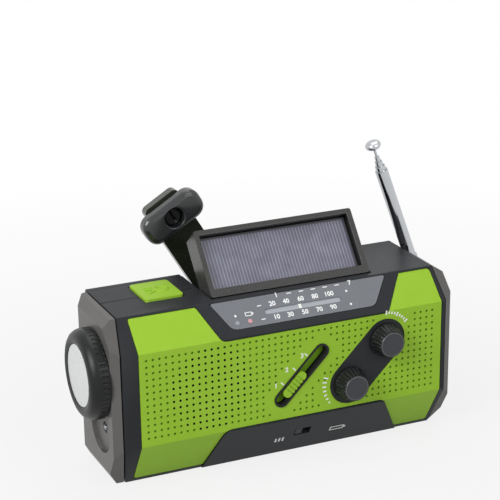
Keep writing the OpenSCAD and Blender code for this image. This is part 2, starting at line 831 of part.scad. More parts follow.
module crank_knob() {
    color("#3a3c3e") seat()
    at_crank()
        difference() {
            union() {
                along_y(rounded(rect(-grip_l / 2, crank_r - grip_w / 2, grip_l / 2, crank_r + grip_w / 2), 5),
                        grip_y0 + 1.4, grip_y1 - 0.8);
                along_y(rounded(rect(-grip_l / 2 + 0.6, crank_r - grip_w / 2 + 0.6, grip_l / 2 - 0.6,
                                     crank_r + grip_w / 2 - 0.6), 4.6), grip_y0 + 0.6, grip_y1);
                along_y(rounded(rect(-grip_l / 2 + 1.6, crank_r - grip_w / 2 + 1.6, grip_l / 2 - 1.6,
                                     crank_r + grip_w / 2 - 1.6), 3.8), grip_y0, grip_y1);
            }
            rod_y(0, crank_r, 4.2, grip_y0 - 1, grip_y1 - 2.2);
            rod_y(0, crank_r, 2.5 + run, grip_y0 - 1, grip_y1 + 1);
        }
}
module knob_pin() {
    color("#191a1b") seat()
    at_crank()
        difference() {
            union() {
                rod_y(0, crank_r, 2.5, grip_y1 - 4.4, arm_y0 + arm_t);
                rod_y(0, crank_r, 3.1, grip_y1 - 4.4, grip_y1 - 2.3);
            }
            block(-0.5, grip_y1 - 9, crank_r - 9, 0.5, grip_y1 - 1.6, crank_r + 9);
        }
}
module crank_gear() {
    color("#e6e2d4") seat()
    gear([crank_x, crank_z], teeth[0], idler_turn, gear_y, gear_y + gear_w, crank_shaft_r + fine);
}
idler_axle_r = 1.5;
module idler_gear() {
    color("#d8d2bd") seat()
    union() {
        gear(idler_at, teeth[1], idler_turn + 180 + 180 / teeth[1], gear_b_y, gear_y + gear_w,
             idler_axle_r + run);
        gear(idler_at, teeth[2], rotor_turn, gear_b_y, gear_b_y + gear_w, idler_axle_r + run);
    }
}
generator_r = 12;
generator_l = 15;
drum_r = 8.8;
rotor_r = 1.5;
module generator_rotor() {
    color("#d9c27a") seat()
    union() {
        gear(rotor_at, teeth[3], rotor_turn + 180 + 180 / teeth[3], gear_b_y, gear_b_y + gear_w,
             rotor_r - 0.5);
        rod_y(rotor_at[0], rotor_at[1], rotor_r, plate_y - 3, gear_b_y + gear_w);
        rod_y(rotor_at[0], rotor_at[1], drum_r, plate_y - 12, plate_y - 2);
    }
}
module generator_body() {
    color("#9da1a6") seat()
    difference() {
        rod_y(rotor_at[0], rotor_at[1], generator_r, plate_y - generator_l, plate_y);
        rod_y(rotor_at[0], rotor_at[1], drum_r + 0.5, plate_y - 13, plate_y + 1);
    }
}
plate_posts = [[-19.5, 9], [22, 20], [21.5, 54], [-18, 54]];
module gearbox_plate() {
    color("#4d4f52") seat()
    difference() {
        union() {
            block(-22.5, plate_y, 6, 24.8, plate_y + plate_t, 57);
            rod_y(idler_at[0], idler_at[1], idler_axle_r, plate_y, gear_y + gear_w + 0.5);
            for (p = plate_posts)
                rod_y(p[0], p[1], 2.4, plate_y, body_d - cover_t);
        }
        rod_y(rotor_at[0], rotor_at[1], rotor_r + run, plate_y - 1, plate_y + 9);
        rod_y(crank_x, crank_z, crank_shaft_r + run, plate_y - 1, plate_y + 9);
    }
}
module crank_bush() {
    color("#b58a3c") seat()
    difference() {
        rod_y(crank_x, crank_z, crank_shaft_r + 1.5, body_d - cover_t - 1.2, body_d);
        rod_y(crank_x, crank_z, crank_shaft_r + run, body_d - 9, body_d + 1);
    }
}

// Antenna: swivel base with a fork, and tubes that slide in one another
ear_in = fork_gap / 2;
ear_out = ear_in + 1.8;
ear_half = 2.6;
pin_r = 1;
tube_r = antenna_d / 2;
tube_foot = 1.5;
collar = 1.2;
tube_floor = 6.2;
module antenna_base() {
    color("#c9cbce") seat()
    difference() {
        translate([pivot[0], pivot[1], 0]) {
            translate([0, 0, swivel_z - 6.5])
                cylinder(r = swivel_r, h = 7);
            translate([0, 0, swivel_z])
                cylinder(r = 4.2, h = 8);
            for (y = [-ear_out, ear_in])
                along_y(rounded(rect(-ear_half, swivel_z + 7, ear_half, pivot[2] + 2.8), [0, 2.4, 2.4, 0]),
                        y, y + ear_out - ear_in);
        }
        rod_y(pivot[0], pivot[2], pin_r + fine, pivot[1] - 9, pivot[1] + 9);
    }
}
module antenna_pin() {
    color("#9da1a6") seat()
    rod_y(pivot[0], pivot[2], pin_r, pivot[1] - ear_out, pivot[1] + ear_out);
}
module antenna_tube_1() {
    color("#d7d9dc") seat()
    at_antenna()
        difference() {
            union() {
                rod_y(0, 0, ear_half, -ear_in + 0.1, ear_in - 0.1);
                block(-ear_half, -ear_in + 0.1, 0, ear_half, ear_in - 0.1, 5);
                translate([0, 0, 4.5])
                    cylinder(r = tube_r, h = antenna_l - 4.5);
            }
            rod_y(0, 0, pin_r + run, -9, 9);
            translate([0, 0, tube_floor])
                cylinder(r = tube_r - tube_wall, h = antenna_l - tube_floor - collar);
            translate([0, 0, tube_floor])
                cylinder(r = tube_r - tube_step + run, h = antenna_l);
        }
}
// Sliding tube number i counted from the widest, with a foot that stays behind the collar
module sliding_tube(i) {
    r = tube_r - i * tube_step;
    z0 = tube_floor + i * 0.5;
    z1 = antenna_l + i * tube_out;
    difference() {
        union() {
            translate([0, 0, z0])
                cylinder(r = r, h = z1 - z0);
            translate([0, 0, z0])
                cylinder(r = r + tube_step - tube_wall - run, h = tube_foot);
        }
        translate([0, 0, z0 + 0.4])
            cylinder(r = r - tube_wall, h = z1 - z0 - 0.4 - collar);
        translate([0, 0, z0 + 0.4])
            cylinder(r = r - tube_step + run, h = z1);
    }
}
module antenna_tube_2() { color("#d7d9dc") seat() at_antenna() sliding_tube(1); }
module antenna_tube_3() { color("#d7d9dc") seat() at_antenna() sliding_tube(2); }
module antenna_tube_4() { color("#d7d9dc") seat() at_antenna() sliding_tube(3); }
tip_r = tube_r - 4 * tube_step;
tip_z = antenna_l + 4 * tube_out;
module antenna_tip() {
    color("#d7d9dc") seat()
    at_antenna()
        union() {
            translate([0, 0, tube_floor + 2])
                cylinder(r = tip_r, h = tip_z - tube_floor);
            translate([0, 0, tube_floor + 2])
                cylinder(r = tip_r + tube_step - tube_wall - run, h = tube_foot);
            rotate_extrude()
                polygon([[0, tip_z], [3.2, tip_z], [4.1, tip_z + 0.8], [4.2, tip_z + 2.6], [3.4, tip_z + 4.6],
                         [2, tip_z + 5.2], [0, tip_z + 5.2]]);
        }
}

// Torch, drawn along the axis that points out of the left end cap
bezel_ribs = 48;
bezel_r = torch_d / 2;
lens_seat = lens_d / 2 + seam;
bezel_crest = (bezel_r + lens_seat) / 2 - 0.4;
module at_torch() {
    translate([cap_face, torch_y, torch_z])
        rotate([0, -90, 0])
            children();
}
module torch_bezel() {
    color("#5a5b5d") seat()
    at_torch()
        difference() {
            rotate_extrude()
                polygon([[bezel_r - 4.5, -3.4], [bezel_r - 4.5, 0], [bezel_r - 0.4, 0], [bezel_r, 0.4],
                         [bezel_r, torch_h - 4.2], [bezel_r - 0.4, torch_h - 2.6],
                         [bezel_r - 1.3, torch_h - 1.2], [bezel_r - 2.4, torch_h - 0.4],
                         [bezel_crest, torch_h], [lens_seat + 1.4, torch_h - 0.4],
                         [lens_seat + 0.5, torch_h - 1.4], [lens_seat, torch_h - 2.6],
                         [lens_seat, torch_h - 4], [lens_d / 2 - 1.1, torch_h - 4],
                         [lens_d / 2 - 1.1, torch_h - 6], [bezel_r - 5.5, torch_h - 6],
                         [bezel_r - 5.5, -3.4]]);
            for (i = [0:bezel_ribs - 1])
                rotate([0, 0, i * 360 / bezel_ribs])
                    translate([bezel_r + 0.2, 0, 0.8])
                        cylinder(r = 0.6, h = torch_h - 5.2, $fn = 16);
        }
}
module torch_lens() {
    color("#e8edf0") seat()
    at_torch()
        rotate_extrude()
            polygon([[0, torch_h - 4], [lens_d / 2, torch_h - 4], [lens_d / 2, torch_h - 2.6],
                     [lens_d / 2 - 1, torch_h - 2.1], [0, torch_h - 1.6]]);
}
module torch_reflector() {
    color("#dfe2e5") seat()
    at_torch()
        rotate_extrude()
            polygon([[2.6, -8], [3.6, -8], [3.6, -7.4], [11.2, torch_h - 6.8], [12.7, torch_h - 6.8],
                     [12.7, torch_h - 6], [lens_d / 2 - 1.3, torch_h - 6], [2.6, -7]]);
}
module torch_board() {
    color("#f0efe9") seat()
    at_torch() {
        translate([0, 0, -8 - board_t])
            cylinder(r = 10, h = board_t);
        translate([0, 0, -8.5])
            cylinder(r = 2, h = 2.3);
    }
}

// Loudspeaker
speaker_r = (crease_hi - crease_lo) / 2 - 1.4;
module at_speaker() {
    translate([speaker_x, 0, speaker_z])
        rotate([-90, 0, 0])
            children();
}
module speaker_frame() {
    color("#85888c") seat()
    at_speaker()
        rotate_extrude()
            polygon([[speaker_r - 1.3, wall], [speaker_r, wall], [speaker_r, 5.2], [11, 10.6], [11, 16],
                     [0, 16], [0, 12], [9.5, 12], [9.5, 10.4], [speaker_r - 3.7, 6], [speaker_r - 3.7, 4.4],
                     [speaker_r - 1.3, 4.4]]);
}
module speaker_cone() {
    color("#26282a") seat()
    at_speaker()
        rotate_extrude()
            polygon([[0, 6.8], [4, 8.6], [speaker_r - 4.1, 3.8], [speaker_r - 1.6, 3.8],
                     [speaker_r - 1.6, 4.4], [speaker_r - 3.9, 4.4], [4.2, 9.3], [0, 7.5]]);
}

// Board and power
module main_board() {
    color("#2f6b3a") seat()
    block(-8, board_y, 8, 64, board_y + board_t, 56);
}
cell_r = 9.1;
module lithium_cell() {
    color("#3f6fae") seat()
    rod_x(22.5, wall + cell_r, cell_r, xl + 8.4, xl + 58.4);
}
aaa_r = 5.1;
aaa_l = 44.5;
aaa_z = (bay_z0 + bay_z1 - aaa_l) / 2;
aaa_y = bay_y + aaa_r + 0.2;
aaa_x = [for (i = [-1:1]) (bay_x0 + bay_x1) / 2 + i * (2 * aaa_r + 0.1)];
module aaa_cells() {
    color("#c8a24a") seat()
    for (x = aaa_x)
        translate([x, aaa_y, aaa_z])
            cylinder(r = aaa_r, h = aaa_l);
}
contact_t = 0.5;
module battery_contacts() {
    color("#c9cbce") seat() {
        for (z = [bay_z0, bay_z1 - contact_t])
            block(bay_x0 + 1, bay_y + 1, z, bay_x1 - 1, bay_y + 9, z + contact_t);
        for (x = aaa_x) {
            translate([x, aaa_y, bay_z0])
                cylinder(r = 2.4, h = aaa_z - bay_z0);
            translate([x, aaa_y, aaa_z + aaa_l])
                cylinder(r = 2.4, h = bay_z1 - aaa_z - aaa_l);
        }
    }
}
door_z0 = 0.4;
module battery_door() {
    color("#3b3d40") seat()
    difference() {
        union() {
            block(door_x0, body_d - door_t, door_z0, door_x1, body_d, door_z1);
            block(door_x0 - rail, body_d - door_t, door_z0,
                  door_x1 + rail, body_d - door_t + rail_t, door_z1);
        }
        for (i = [0:4])
            block((door_x0 + door_x1) / 2 - 9, body_d - 0.5, 42 + i * 2.2,
                  (door_x0 + door_x1) / 2 + 9, body_d + 1, 43 + i * 2.2);
    }
}
port_x = xr + cap_t - 1.2;
flap_z0 = port_z - port_h / 2 - 2;
flap_z1 = port_z + port_h / 2 + 2;
module port_flap() {
    color("#333537") seat()
    union() {
        block(port_x, port_y - port_w / 2 - 2, flap_z0, xr + cap_t, port_y + port_w / 2 + 2, flap_z1);
        block(xr + cap_t - 0.5, port_y - 4, flap_z1 - 1.2, xr + cap_t + 0.7, port_y + 4, flap_z1);
    }
}
socket_x0 = 58;
socket_x1 = xr + 1.1;
module usb_sockets() {
    color("#b9bcc0") seat()
    difference() {
        union() {
            block(socket_x0, board_y + board_t, port_z - 4.4, socket_x0 + 5, 27, port_z + 4.4);
            for (y = [board_y + board_t, 22.4])
                block(socket_x0, y, port_z - 4, socket_x1, y + 3.4, port_z + 4);
        }
        for (y = [board_y + board_t, 22.4])
            block(socket_x1 - 6, y + 0.5, port_z - 3.5, socket_x1 + 1, y + 2.9, port_z + 3.5);
    }
}
module case_screws() {
    color("#8f9398") seat()
    for (b = boss_at)
        difference() {
            union() {
                rod_y(b[0], b[1], screw_r, body_d - cover_t - 8.5, body_d - 1);
                rod_y(b[0], b[1], screw_head, body_d - 1.4, body_d - 0.2);
            }
            block(b[0] - 1.7, body_d - 0.9, b[1] - 0.35, b[0] + 1.7, body_d + 1, b[1] + 0.35);
            block(b[0] - 0.35, body_d - 0.9, b[1] - 1.7, b[0] + 0.35, body_d + 1, b[1] + 1.7);
        }
}

front_housing();
rear_cover();
front_fascia();
left_end_cap();
right_end_cap();
dial_window();
dial_plate();
tuning_pointer();
indicator_leds();
knob_plate();
tuning_knob();
volume_knob();
tuning_shaft();
volume_shaft();
tuning_capacitor();
volume_pot();
band_slider();
band_switch();
source_switch();
source_switch_body();
lamp_button();
lamp_switch();
flap_frame();
flap_shell();
solar_cell();
reading_lamp();
flap_pins();
crank_hub();
crank_arm();
fold_pin();
crank_knob();
knob_pin();
crank_gear();
idler_gear();
generator_rotor();
generator_body();
gearbox_plate();
crank_bush();
antenna_base();
antenna_pin();
antenna_tube_1();
antenna_tube_2();
antenna_tube_3();
antenna_tube_4();
antenna_tip();
torch_bezel();
torch_lens();
torch_reflector();
torch_board();
speaker_frame();
speaker_cone();
main_board();
lithium_cell();
aaa_cells();
battery_contacts();
battery_door();
port_flap();
usb_sockets();
case_screws();
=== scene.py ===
"""Looks of a hand crank solar radio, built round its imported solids."""
import json
import math

import bmesh
import bpy
from bpy.props import FloatProperty, FloatVectorProperty, IntProperty, PointerProperty
from mathutils import Matrix, Vector

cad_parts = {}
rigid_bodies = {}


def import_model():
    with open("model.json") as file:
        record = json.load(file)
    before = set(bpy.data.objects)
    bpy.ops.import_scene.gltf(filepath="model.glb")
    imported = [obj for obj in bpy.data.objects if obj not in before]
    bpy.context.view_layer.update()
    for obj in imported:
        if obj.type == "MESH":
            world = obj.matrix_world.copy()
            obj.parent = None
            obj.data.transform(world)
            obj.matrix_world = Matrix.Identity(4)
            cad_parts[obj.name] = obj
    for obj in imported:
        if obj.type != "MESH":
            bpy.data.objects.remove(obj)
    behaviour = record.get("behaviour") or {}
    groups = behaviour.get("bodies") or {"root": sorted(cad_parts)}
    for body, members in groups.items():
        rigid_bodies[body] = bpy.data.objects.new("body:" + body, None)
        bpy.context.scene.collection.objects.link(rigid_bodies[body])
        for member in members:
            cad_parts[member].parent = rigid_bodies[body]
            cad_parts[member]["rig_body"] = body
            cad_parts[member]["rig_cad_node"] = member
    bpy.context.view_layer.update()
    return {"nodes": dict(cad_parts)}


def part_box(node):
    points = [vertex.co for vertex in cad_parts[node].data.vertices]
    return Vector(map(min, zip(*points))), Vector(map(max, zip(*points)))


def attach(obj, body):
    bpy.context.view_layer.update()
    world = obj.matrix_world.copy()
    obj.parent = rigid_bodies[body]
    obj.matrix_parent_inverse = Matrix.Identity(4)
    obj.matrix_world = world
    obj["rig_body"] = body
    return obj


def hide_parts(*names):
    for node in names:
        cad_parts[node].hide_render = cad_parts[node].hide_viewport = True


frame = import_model()

bl_info = {
    "name": "Hand crank solar radio",
    "version": (1, 0, 0),
    "blender": (4, 5, 0),
    "location": "View3D > Sidebar > Radio",
    "description": "Dresses the radio's solids with mouldings, prints and finishes",
    "category": "Object",
}

# Sizes in millimetres, where no other unit is given. X runs along the front, Y back, Z up.
MM = 0.001
NEAR = 0.3                   # an edge this near to a face or a fold counts as lying on it
DEPTH, HEIGHT = 48.5, 71.0
BASE_MID = 30.4              # the solids' origin lies this far behind the front face
REAR = DEPTH - BASE_MID      # the rear face
ENDS = 66.5                  # the housing's slanted ends lie beyond this X on both sides
RECESS_FRONT = -17.0         # the flap's recess in the top begins here
LAYOUT_X = 7.7               # middle of the dial, the flap and the switch tray
CREASE_HI, CREASE_LO = 59.2, 19.8            # the two long folds across the front
CREASE_FOLD = 0.3            # a crease folds by more than this, in radians
DIAL_ANGLE = math.atan2(HEIGHT - CREASE_HI, 12.1)
TRAY_ANGLE = math.atan2(CREASE_LO, 12.3)
TRAY_PAD = 0.7               # the switch tray stands proud of the housing's slope
FLAP_ANGLE = math.radians(51)
FASCIA_T = 1.6
SPEAKER = Vector((-34.0, (CREASE_LO + CREASE_HI) / 2))
GRILLE_R = 17.4
SLOT_LO, SLOT_HI = Vector((LAYOUT_X - 11.4, 29.0)), Vector((LAYOUT_X + 6.3, 46.9))
SLOT_R = 2.5
SLOT_FLOOR = 3.32            # just in front of the band switch, clear of the slider
KNOB_LO, KNOB_HI = Vector((LAYOUT_X + 19.3, 30.6)), Vector((LAYOUT_X + 35.5, 46.9))
CAP_FACE = -75.3             # outer face of the left end cap
TORCH_Y, TORCH_Z, TORCH_H = 20.0, 46.5, 8.0
ANTENNA_LEAN = math.radians(19.9)
INK = 0.05                   # thickness of printed ink
BOLDER = 0.028               # how much a number's strokes are widened, as a share of its size


def plane_frame(origin, along, up):
    """Matrix from a drawing in millimetres to a face of the radio, with the face's normal as Z."""
    along, up = Vector(along).normalized(), Vector(up).normalized()
    out = along.cross(up)
    m = Matrix((along, up, out)).transposed().to_4x4()
    m.translation = Vector((origin[0], origin[1] - BASE_MID, origin[2])) * MM
    return m @ Matrix.Scale(MM, 4)


FRONT = plane_frame((0, 0, 0), (1, 0, 0), (0, 0, 1))
DIAL = plane_frame(
    (LAYOUT_X, 0, CREASE_HI), (1, 0, 0), (0, math.cos(DIAL_ANGLE), math.sin(DIAL_ANGLE)))
TRAY = plane_frame(
    (LAYOUT_X, -TRAY_PAD * math.sin(TRAY_ANGLE), CREASE_LO - TRAY_PAD * math.cos(TRAY_ANGLE)),
    (1, 0, 0), (0, -math.cos(TRAY_ANGLE), math.sin(TRAY_ANGLE)))


# Finishes

GRAIN_H = 0.05               # height of a full-strength grain
COAT_ROUGH = 0.12
CLEAR_IOR = 1.49             # acrylic
DULL = 1.33                  # a pebbled moulding mirrors less than its smooth resin
CELL_PITCH = 1.4             # from one conductor line of the solar cell to the next
CELL_MARGIN, CELL_CLOUD = 1.0, 6.0
CELL_TONES = ((0.0, "#5d5d70"), (0.5, "#626275"), (0.62, "#8b8a97"),
              (0.76, "#8b8a97"), (0.88, "#626275"), (1.0, "#5f5f72"))
FINISH = {}


def hex_linear(code):
    """Linear colour of an sRGB hex value."""
    parts = [int(code[i:i + 2], 16) / 255 for i in (1, 3, 5)]
    return tuple(p / 12.92 if p <= 0.04045 else ((p + 0.055) / 1.055) ** 2.4
                 for p in parts) + (1.0,)


def add_node(tree, kind, settings=None, links=None):
    """Adds a node, sets its properties and sockets, and links sockets to other nodes' outputs."""
    node = tree.nodes.new(kind)
    for key, value in (settings or {}).items():
        if isinstance(key, str) and hasattr(node, key):
            setattr(node, key, value)
        else:
            node.inputs[key].default_value = value
    for key, source in (links or {}).items():
        tree.links.new(source, node.inputs[key])
    return node


def new_material(name):
    """A material with its shader and output, and the Object coordinates that its patterns read."""
    material = bpy.data.materials.new(name)
    material.use_nodes = True
    tree = material.node_tree
    tree.nodes.clear()
    shader = add_node(tree, "ShaderNodeBsdfPrincipled")
    add_node(tree, "ShaderNodeOutputMaterial", links={"Surface": shader.outputs["BSDF"]})
    where = add_node(tree, "ShaderNodeTexCoord")
    return material, tree, shader, where.outputs["Object"]


def grained(name, dark, light, rough, grain_mm, depth, cloud_mm=9.0, coat=0.0, metallic=0.0,
            ior=1.5, spread=0.06, shine=0.5):
    """A finish of two close tones in soft clouds, with a fine grain in gloss and height.

    The grain of a mould or a tool is finer than a pixel, so grain_mm is as coarse as it needs to
    be to show.
    """
    material, tree, shader, where = new_material(name)
    cloud = add_node(tree, "ShaderNodeTexNoise", {"Scale": 1000 / cloud_mm, "Detail": 3.0},
                     {"Vector": where})
    grain = add_node(tree, "ShaderNodeTexNoise", {"Scale": 1000 / grain_mm, "Detail": 2.0},
                     {"Vector": where})
    tone = add_node(tree, "ShaderNodeMix",
                    {"data_type": "RGBA", 6: hex_linear(dark), 7: hex_linear(light)},
                    {0: cloud.outputs["Fac"]})
    gloss = add_node(tree, "ShaderNodeMapRange",
                     {"From Min": 0.3, "From Max": 0.7,
                      "To Min": rough - spread, "To Max": rough + spread},
                     {"Value": grain.outputs["Fac"]})
    bump = add_node(tree, "ShaderNodeBump", {"Strength": depth, "Distance": GRAIN_H * MM},
                    {"Height": grain.outputs["Fac"]})
    tree.links.new(tone.outputs[2], shader.inputs["Base Color"])
    tree.links.new(gloss.outputs["Result"], shader.inputs["Roughness"])
    tree.links.new(bump.outputs["Normal"], shader.inputs["Normal"])
    shader.inputs["Metallic"].default_value = metallic
    shader.inputs["IOR"].default_value = ior
    shader.inputs["Specular IOR Level"].default_value = shine
    shader.inputs["Coat Weight"].default_value = coat
    shader.inputs["Coat Roughness"].default_value = COAT_ROUGH
    return material


def solar_laminate():
    """Silicon strips under clear resin: pale conductor lines on a violet grey, dark at the rim."""
    material, tree, shader, where = new_material("silicon cell under resin")
    parts = add_node(tree, "ShaderNodeSeparateXYZ", links={"Vector": where})
    step = add_node(tree, "ShaderNodeMath", {"operation": "DIVIDE", 1: CELL_PITCH * MM},
                    {0: parts.outputs["X"]})
    turn = add_node(tree, "ShaderNodeMath", {"operation": "FRACT"}, {0: step.outputs[0]})
    ramp = add_node(tree, "ShaderNodeValToRGB", links={"Fac": turn.outputs[0]})
    stops = ramp.color_ramp.elements
    for place, _ in CELL_TONES[1:-1]:
        stops.new(place)
    for stop, (_, code) in zip(stops, CELL_TONES):
        stop.color = hex_linear(code)
    cloud = add_node(tree, "ShaderNodeTexNoise", {"Scale": 1000 / CELL_CLOUD, "Detail": 2.0},
                     {"Vector": where})
    veil = add_node(tree, "ShaderNodeMix",
                    {"data_type": "RGBA", "blend_type": "SOFT_LIGHT", 0: 0.5},
                    {6: ramp.outputs["Color"], 7: cloud.outputs["Fac"]})
    # how far a point lies from the cell's middle, along X and up the cell's own slope
    along = Vector((0, math.cos(FLAP_ANGLE), math.sin(FLAP_ANGLE)))
    slope = add_node(tree, "ShaderNodeVectorMath", {"operation": "DOT_PRODUCT", 1: along},
                     {0: where})
    low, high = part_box("solar_cell")
    rows = [along.dot(v.co) for v in frame["nodes"]["solar_cell"].data.vertices]
    edges = []
    for source, a, b in ((parts.outputs["X"], low.x, high.x),
                         (slope.outputs["Value"], min(rows), max(rows))):
        off = add_node(tree, "ShaderNodeMath", {"operation": "SUBTRACT", 1: (a + b) / 2},
                       {0: source})
        size = add_node(tree, "ShaderNodeMath", {"operation": "ABSOLUTE"}, {0: off.outputs[0]})
        edges.append(add_node(
            tree, "ShaderNodeMath",
            {"operation": "GREATER_THAN", 1: (b - a) / 2 - CELL_MARGIN * MM},
            {0: size.outputs[0]}))
    rim = add_node(tree, "ShaderNodeMath", {"operation": "MAXIMUM"},
                   {0: edges[0].outputs[0], 1: edges[1].outputs[0]})
    tone = add_node(tree, "ShaderNodeMix", {"data_type": "RGBA", 7: hex_linear("#4a4a4f")},
                    {0: rim.outputs[0], 6: veil.outputs[2]})
    tree.links.new(tone.outputs[2], shader.inputs["Base Color"])
    shader.inputs["Roughness"].default_value = 0.42
    shader.inputs["Coat Weight"].default_value = 0.5
    shader.inputs["Coat Roughness"].default_value = 0.08
    return material


def clear_plastic(name, dark, light, rough, clarity):
    """Moulded clear plastic: it lets part of the light through and scatters the rest."""
    ripple_mm = 5.0
    material, tree, shader, where = new_material(name)
    cloud = add_node(tree, "ShaderNodeTexNoise", {"Scale": 1000 / ripple_mm}, {"Vector": where})
    gloss = add_node(tree, "ShaderNodeMapRange", {"To Min": rough * 0.7, "To Max": rough * 1.3},
                     {"Value": cloud.outputs["Fac"]})
    tone = add_node(tree, "ShaderNodeMix",
                    {"data_type": "RGBA", 6: hex_linear(dark), 7: hex_linear(light)},
                    {0: cloud.outputs["Fac"]})
    tree.links.new(tone.outputs[2], shader.inputs["Base Color"])
    tree.links.new(gloss.outputs["Result"], shader.inputs["Roughness"])
    shader.inputs["Transmission Weight"].default_value = clarity
    shader.inputs["IOR"].default_value = CLEAR_IOR
    return material


def make_finishes(look):
    """Fills FINISH with every material of the radio."""
    charcoal, lime = ("#%02x%02x%02x" % tuple(round(255 * c) for c in colour)
                      for colour in (look.charcoal, look.lime))
    # ABS from a spark-eroded mould: a dull, finely pebbled charcoal
    FINISH["case"] = grained("moulded ABS, charcoal", charcoal, "#2c2e31", 0.45, 0.35, 0.3,
                             ior=DULL, shine=0.3)
    # the end caps: the housing's charcoal painted lighter, as painted light from the lamp at the
    # left, on a smoother finish
    FINISH["cap"] = grained("moulded ABS, cap grey", "#565553", "#605e5c", 0.38, 0.4, 0.2,
                            ior=DULL)
    # lime ABS with an even satin skin
    FINISH["lime"] = grained("moulded ABS, lime", lime, "#9ac43c", 0.46, 0.5, 0.18,
                             ior=DULL, spread=0.04, shine=0.3)
    # painted shade: a darker lime on the blind dots' floors and walls and on the band slot's floor,
    # as rough as the spark left it
    FINISH["pit"] = grained("moulded ABS, lime in the pits", "#6f9c20", "#78a627", 0.7, 0.3, 0.4,
                            ior=DULL, shine=0.2)
    # matt black: painted shade on the pierced dots' walls and on the sheet behind them, and the
    # black liner of the band slot's walls
    FINISH["screen"] = grained("pressed fibre screen, black", "#0a0a0b", "#121213", 0.9, 0.5, 0.5)
    # acrylic sheet printed grey on its back: flat, polished, with a slight depth
    FINISH["window"] = grained("printed acrylic, grey", "#66696f", "#71747b", 0.22, 1.2, 0.03,
                               cloud_mm=14, coat=0.6, ior=CLEAR_IOR)
    # printed card: pale, flat and matt, with slightly uneven ink
    FINISH["scale"] = grained("printed scale card", "#a2a6ad", "#abafb6", 0.6, 0.6, 0.1)
    # screen-printed white ink: matt, a little uneven
    FINISH["ink"] = grained("screen ink, white", "#e9ebea", "#f6f7f6", 0.6, 0.25, 0.2, cloud_mm=2)
    # polystyrene from a smooth mould: an even off-white with a soft gloss
    FINISH["white"] = grained("moulded polystyrene, white", "#e8e8e4", "#f4f4f0", 0.4, 0.6, 0.1)
    # frosted epoxy: milky lamp faces under a glossy skin
    FINISH["led_red"] = grained("frosted LED, rose", "#c4868e", "#d6a3a9", 0.35, 0.4, 0.1,
                                cloud_mm=2, coat=0.5)
    FINISH["led_grey"] = grained("frosted LED, grey", "#8d9095", "#9da0a5", 0.35, 0.4, 0.1,
                                 cloud_mm=2, coat=0.5)
    # knob ABS: darker, polished by fingers
    FINISH["knob"] = grained("moulded ABS, knob black", "#151617", "#1b1c1e", 0.36, 0.4, 0.2,
                             ior=DULL)
    # the knobs' caps are a paler, even grey; the ring at their edge is smoother and painted
    # lighter, a painted highlight as a bright line
    FINISH["knob_cap"] = grained("moulded ABS, knob cap", "#3a3b3f", "#424347", 0.34, 0.4, 0.15,
                                 ior=DULL)
    FINISH["knob_ring"] = grained("moulded ABS, polished ring", "#4b4d50", "#55575a",
                                  0.25, 0.4, 0.05)
    # nylon from a smooth mould: deep black with a narrow sheen
    FINISH["black"] = grained("moulded nylon, black", "#141516", "#1c1d1e", 0.35, 0.5, 0.15,
                              ior=DULL)
    # the flap's warm grey: satin, with clear light along its rounded edges
    FINISH["flap"] = grained("moulded ABS, warm grey", "#2d2d2c", "#363534", 0.28, 0.4, 0.1)
    # the pocket round the cell: black as painted shade, left dull
    FINISH["flap_dark"] = grained("moulded ABS, shadow black", "#0c0c0d", "#121212",
                                  0.4, 0.4, 0.2, ior=DULL)
    # strips of silicon under resin: fine pale lines below a smooth gloss
    FINISH["solar"] = solar_laminate()
    # the crank arm is polished black ABS that mirrors its surroundings, with a green tint painted
    # in as a reflection of the lime fascia
    FINISH["arm"] = grained("polished ABS, black", "#252a20", "#2f3529", 0.24, 0.8, 0.05, coat=0.3)
    # the grip's mould is polished too: dark grey with long soft highlights
    FINISH["grip"] = grained("moulded ABS, grip grey", "#1f2022", "#27282a", 0.25, 0.4, 0.04,
                             coat=0.35)
    # chrome on drawn brass tube: bright, with a faint unevenness from the drawing
    FINISH["chrome"] = grained("chromed brass tube", "#b2b5b9", "#c6c8cb", 0.1, 0.5, 0.004,
                               metallic=1.0, spread=0.03)
    # turned steel: grey, with a fine tool grain that spreads its gloss
    FINISH["steel"] = grained("turned steel", "#8f9296", "#a6a9ad", 0.34, 0.3, 0.15, metallic=1.0)
    # turned brass: warm yellow with the same tool grain
    FINISH["brass"] = grained("turned brass", "#9c7a38", "#b58f47", 0.32, 0.3, 0.12, metallic=1.0)
    # acetal: a waxy, milky off-white
    FINISH["acetal"] = grained("moulded acetal", "#d8d3c4", "#e4dfd1", 0.42, 0.5, 0.1)
    # solder lacquer over copper: glossy green in two depths
    FINISH["board"] = grained("lacquered circuit board", "#1f5a30", "#2a6b3b", 0.35, 0.8, 0.15)
    # pressed paper: dull black with coarse fibres
    FINISH["paper"] = grained("pressed paper cone", "#1c1d1e", "#2a2b2c", 0.75, 0.5, 0.5)
    # shrunk film: an even blue with a tight gloss
    FINISH["sleeve"] = grained("shrink sleeve, blue", "#34619c", "#3f70ad", 0.3, 0.8, 0.1)
    # rubber: dark and dull, with a soft grain
    FINISH["rubber"] = grained("moulded rubber", "#2a2b2c", "#333435", 0.62, 0.4, 0.4, ior=DULL)
    # metal film from a vacuum: a near mirror with a slight haze
    FINISH["mirror"] = grained("vacuum-metalled reflector", "#dcdfe2", "#eef0f1", 0.08, 1.5, 0.05,
                               metallic=1.0)
    # acrylic with a moulded pattern behind it: a white face that lets in a little light
    FINISH["lens"] = clear_plastic("moulded acrylic lens", "#f3f6f6", "#fafbfb", 0.3, 0.3)
    # torch ABS: black, satin on its ribs
    FINISH["bezel"] = grained("moulded ABS, torch black", "#141516", "#1b1c1d", 0.36, 0.4, 0.12,
                              ior=DULL)


def finish(obj, key):
    """Gives an object one finish all over."""
    obj.data.materials.clear()
    obj.data.materials.append(FINISH[key])


# Modelling helpers

MERGE = 0.002                # points nearer than this are one
FLAT_FOLD = math.radians(0.5)        # faces that fold by less are one flat face
TINY = 0.001                 # edges shorter than this are taken out
CREASE_STEPS = 6


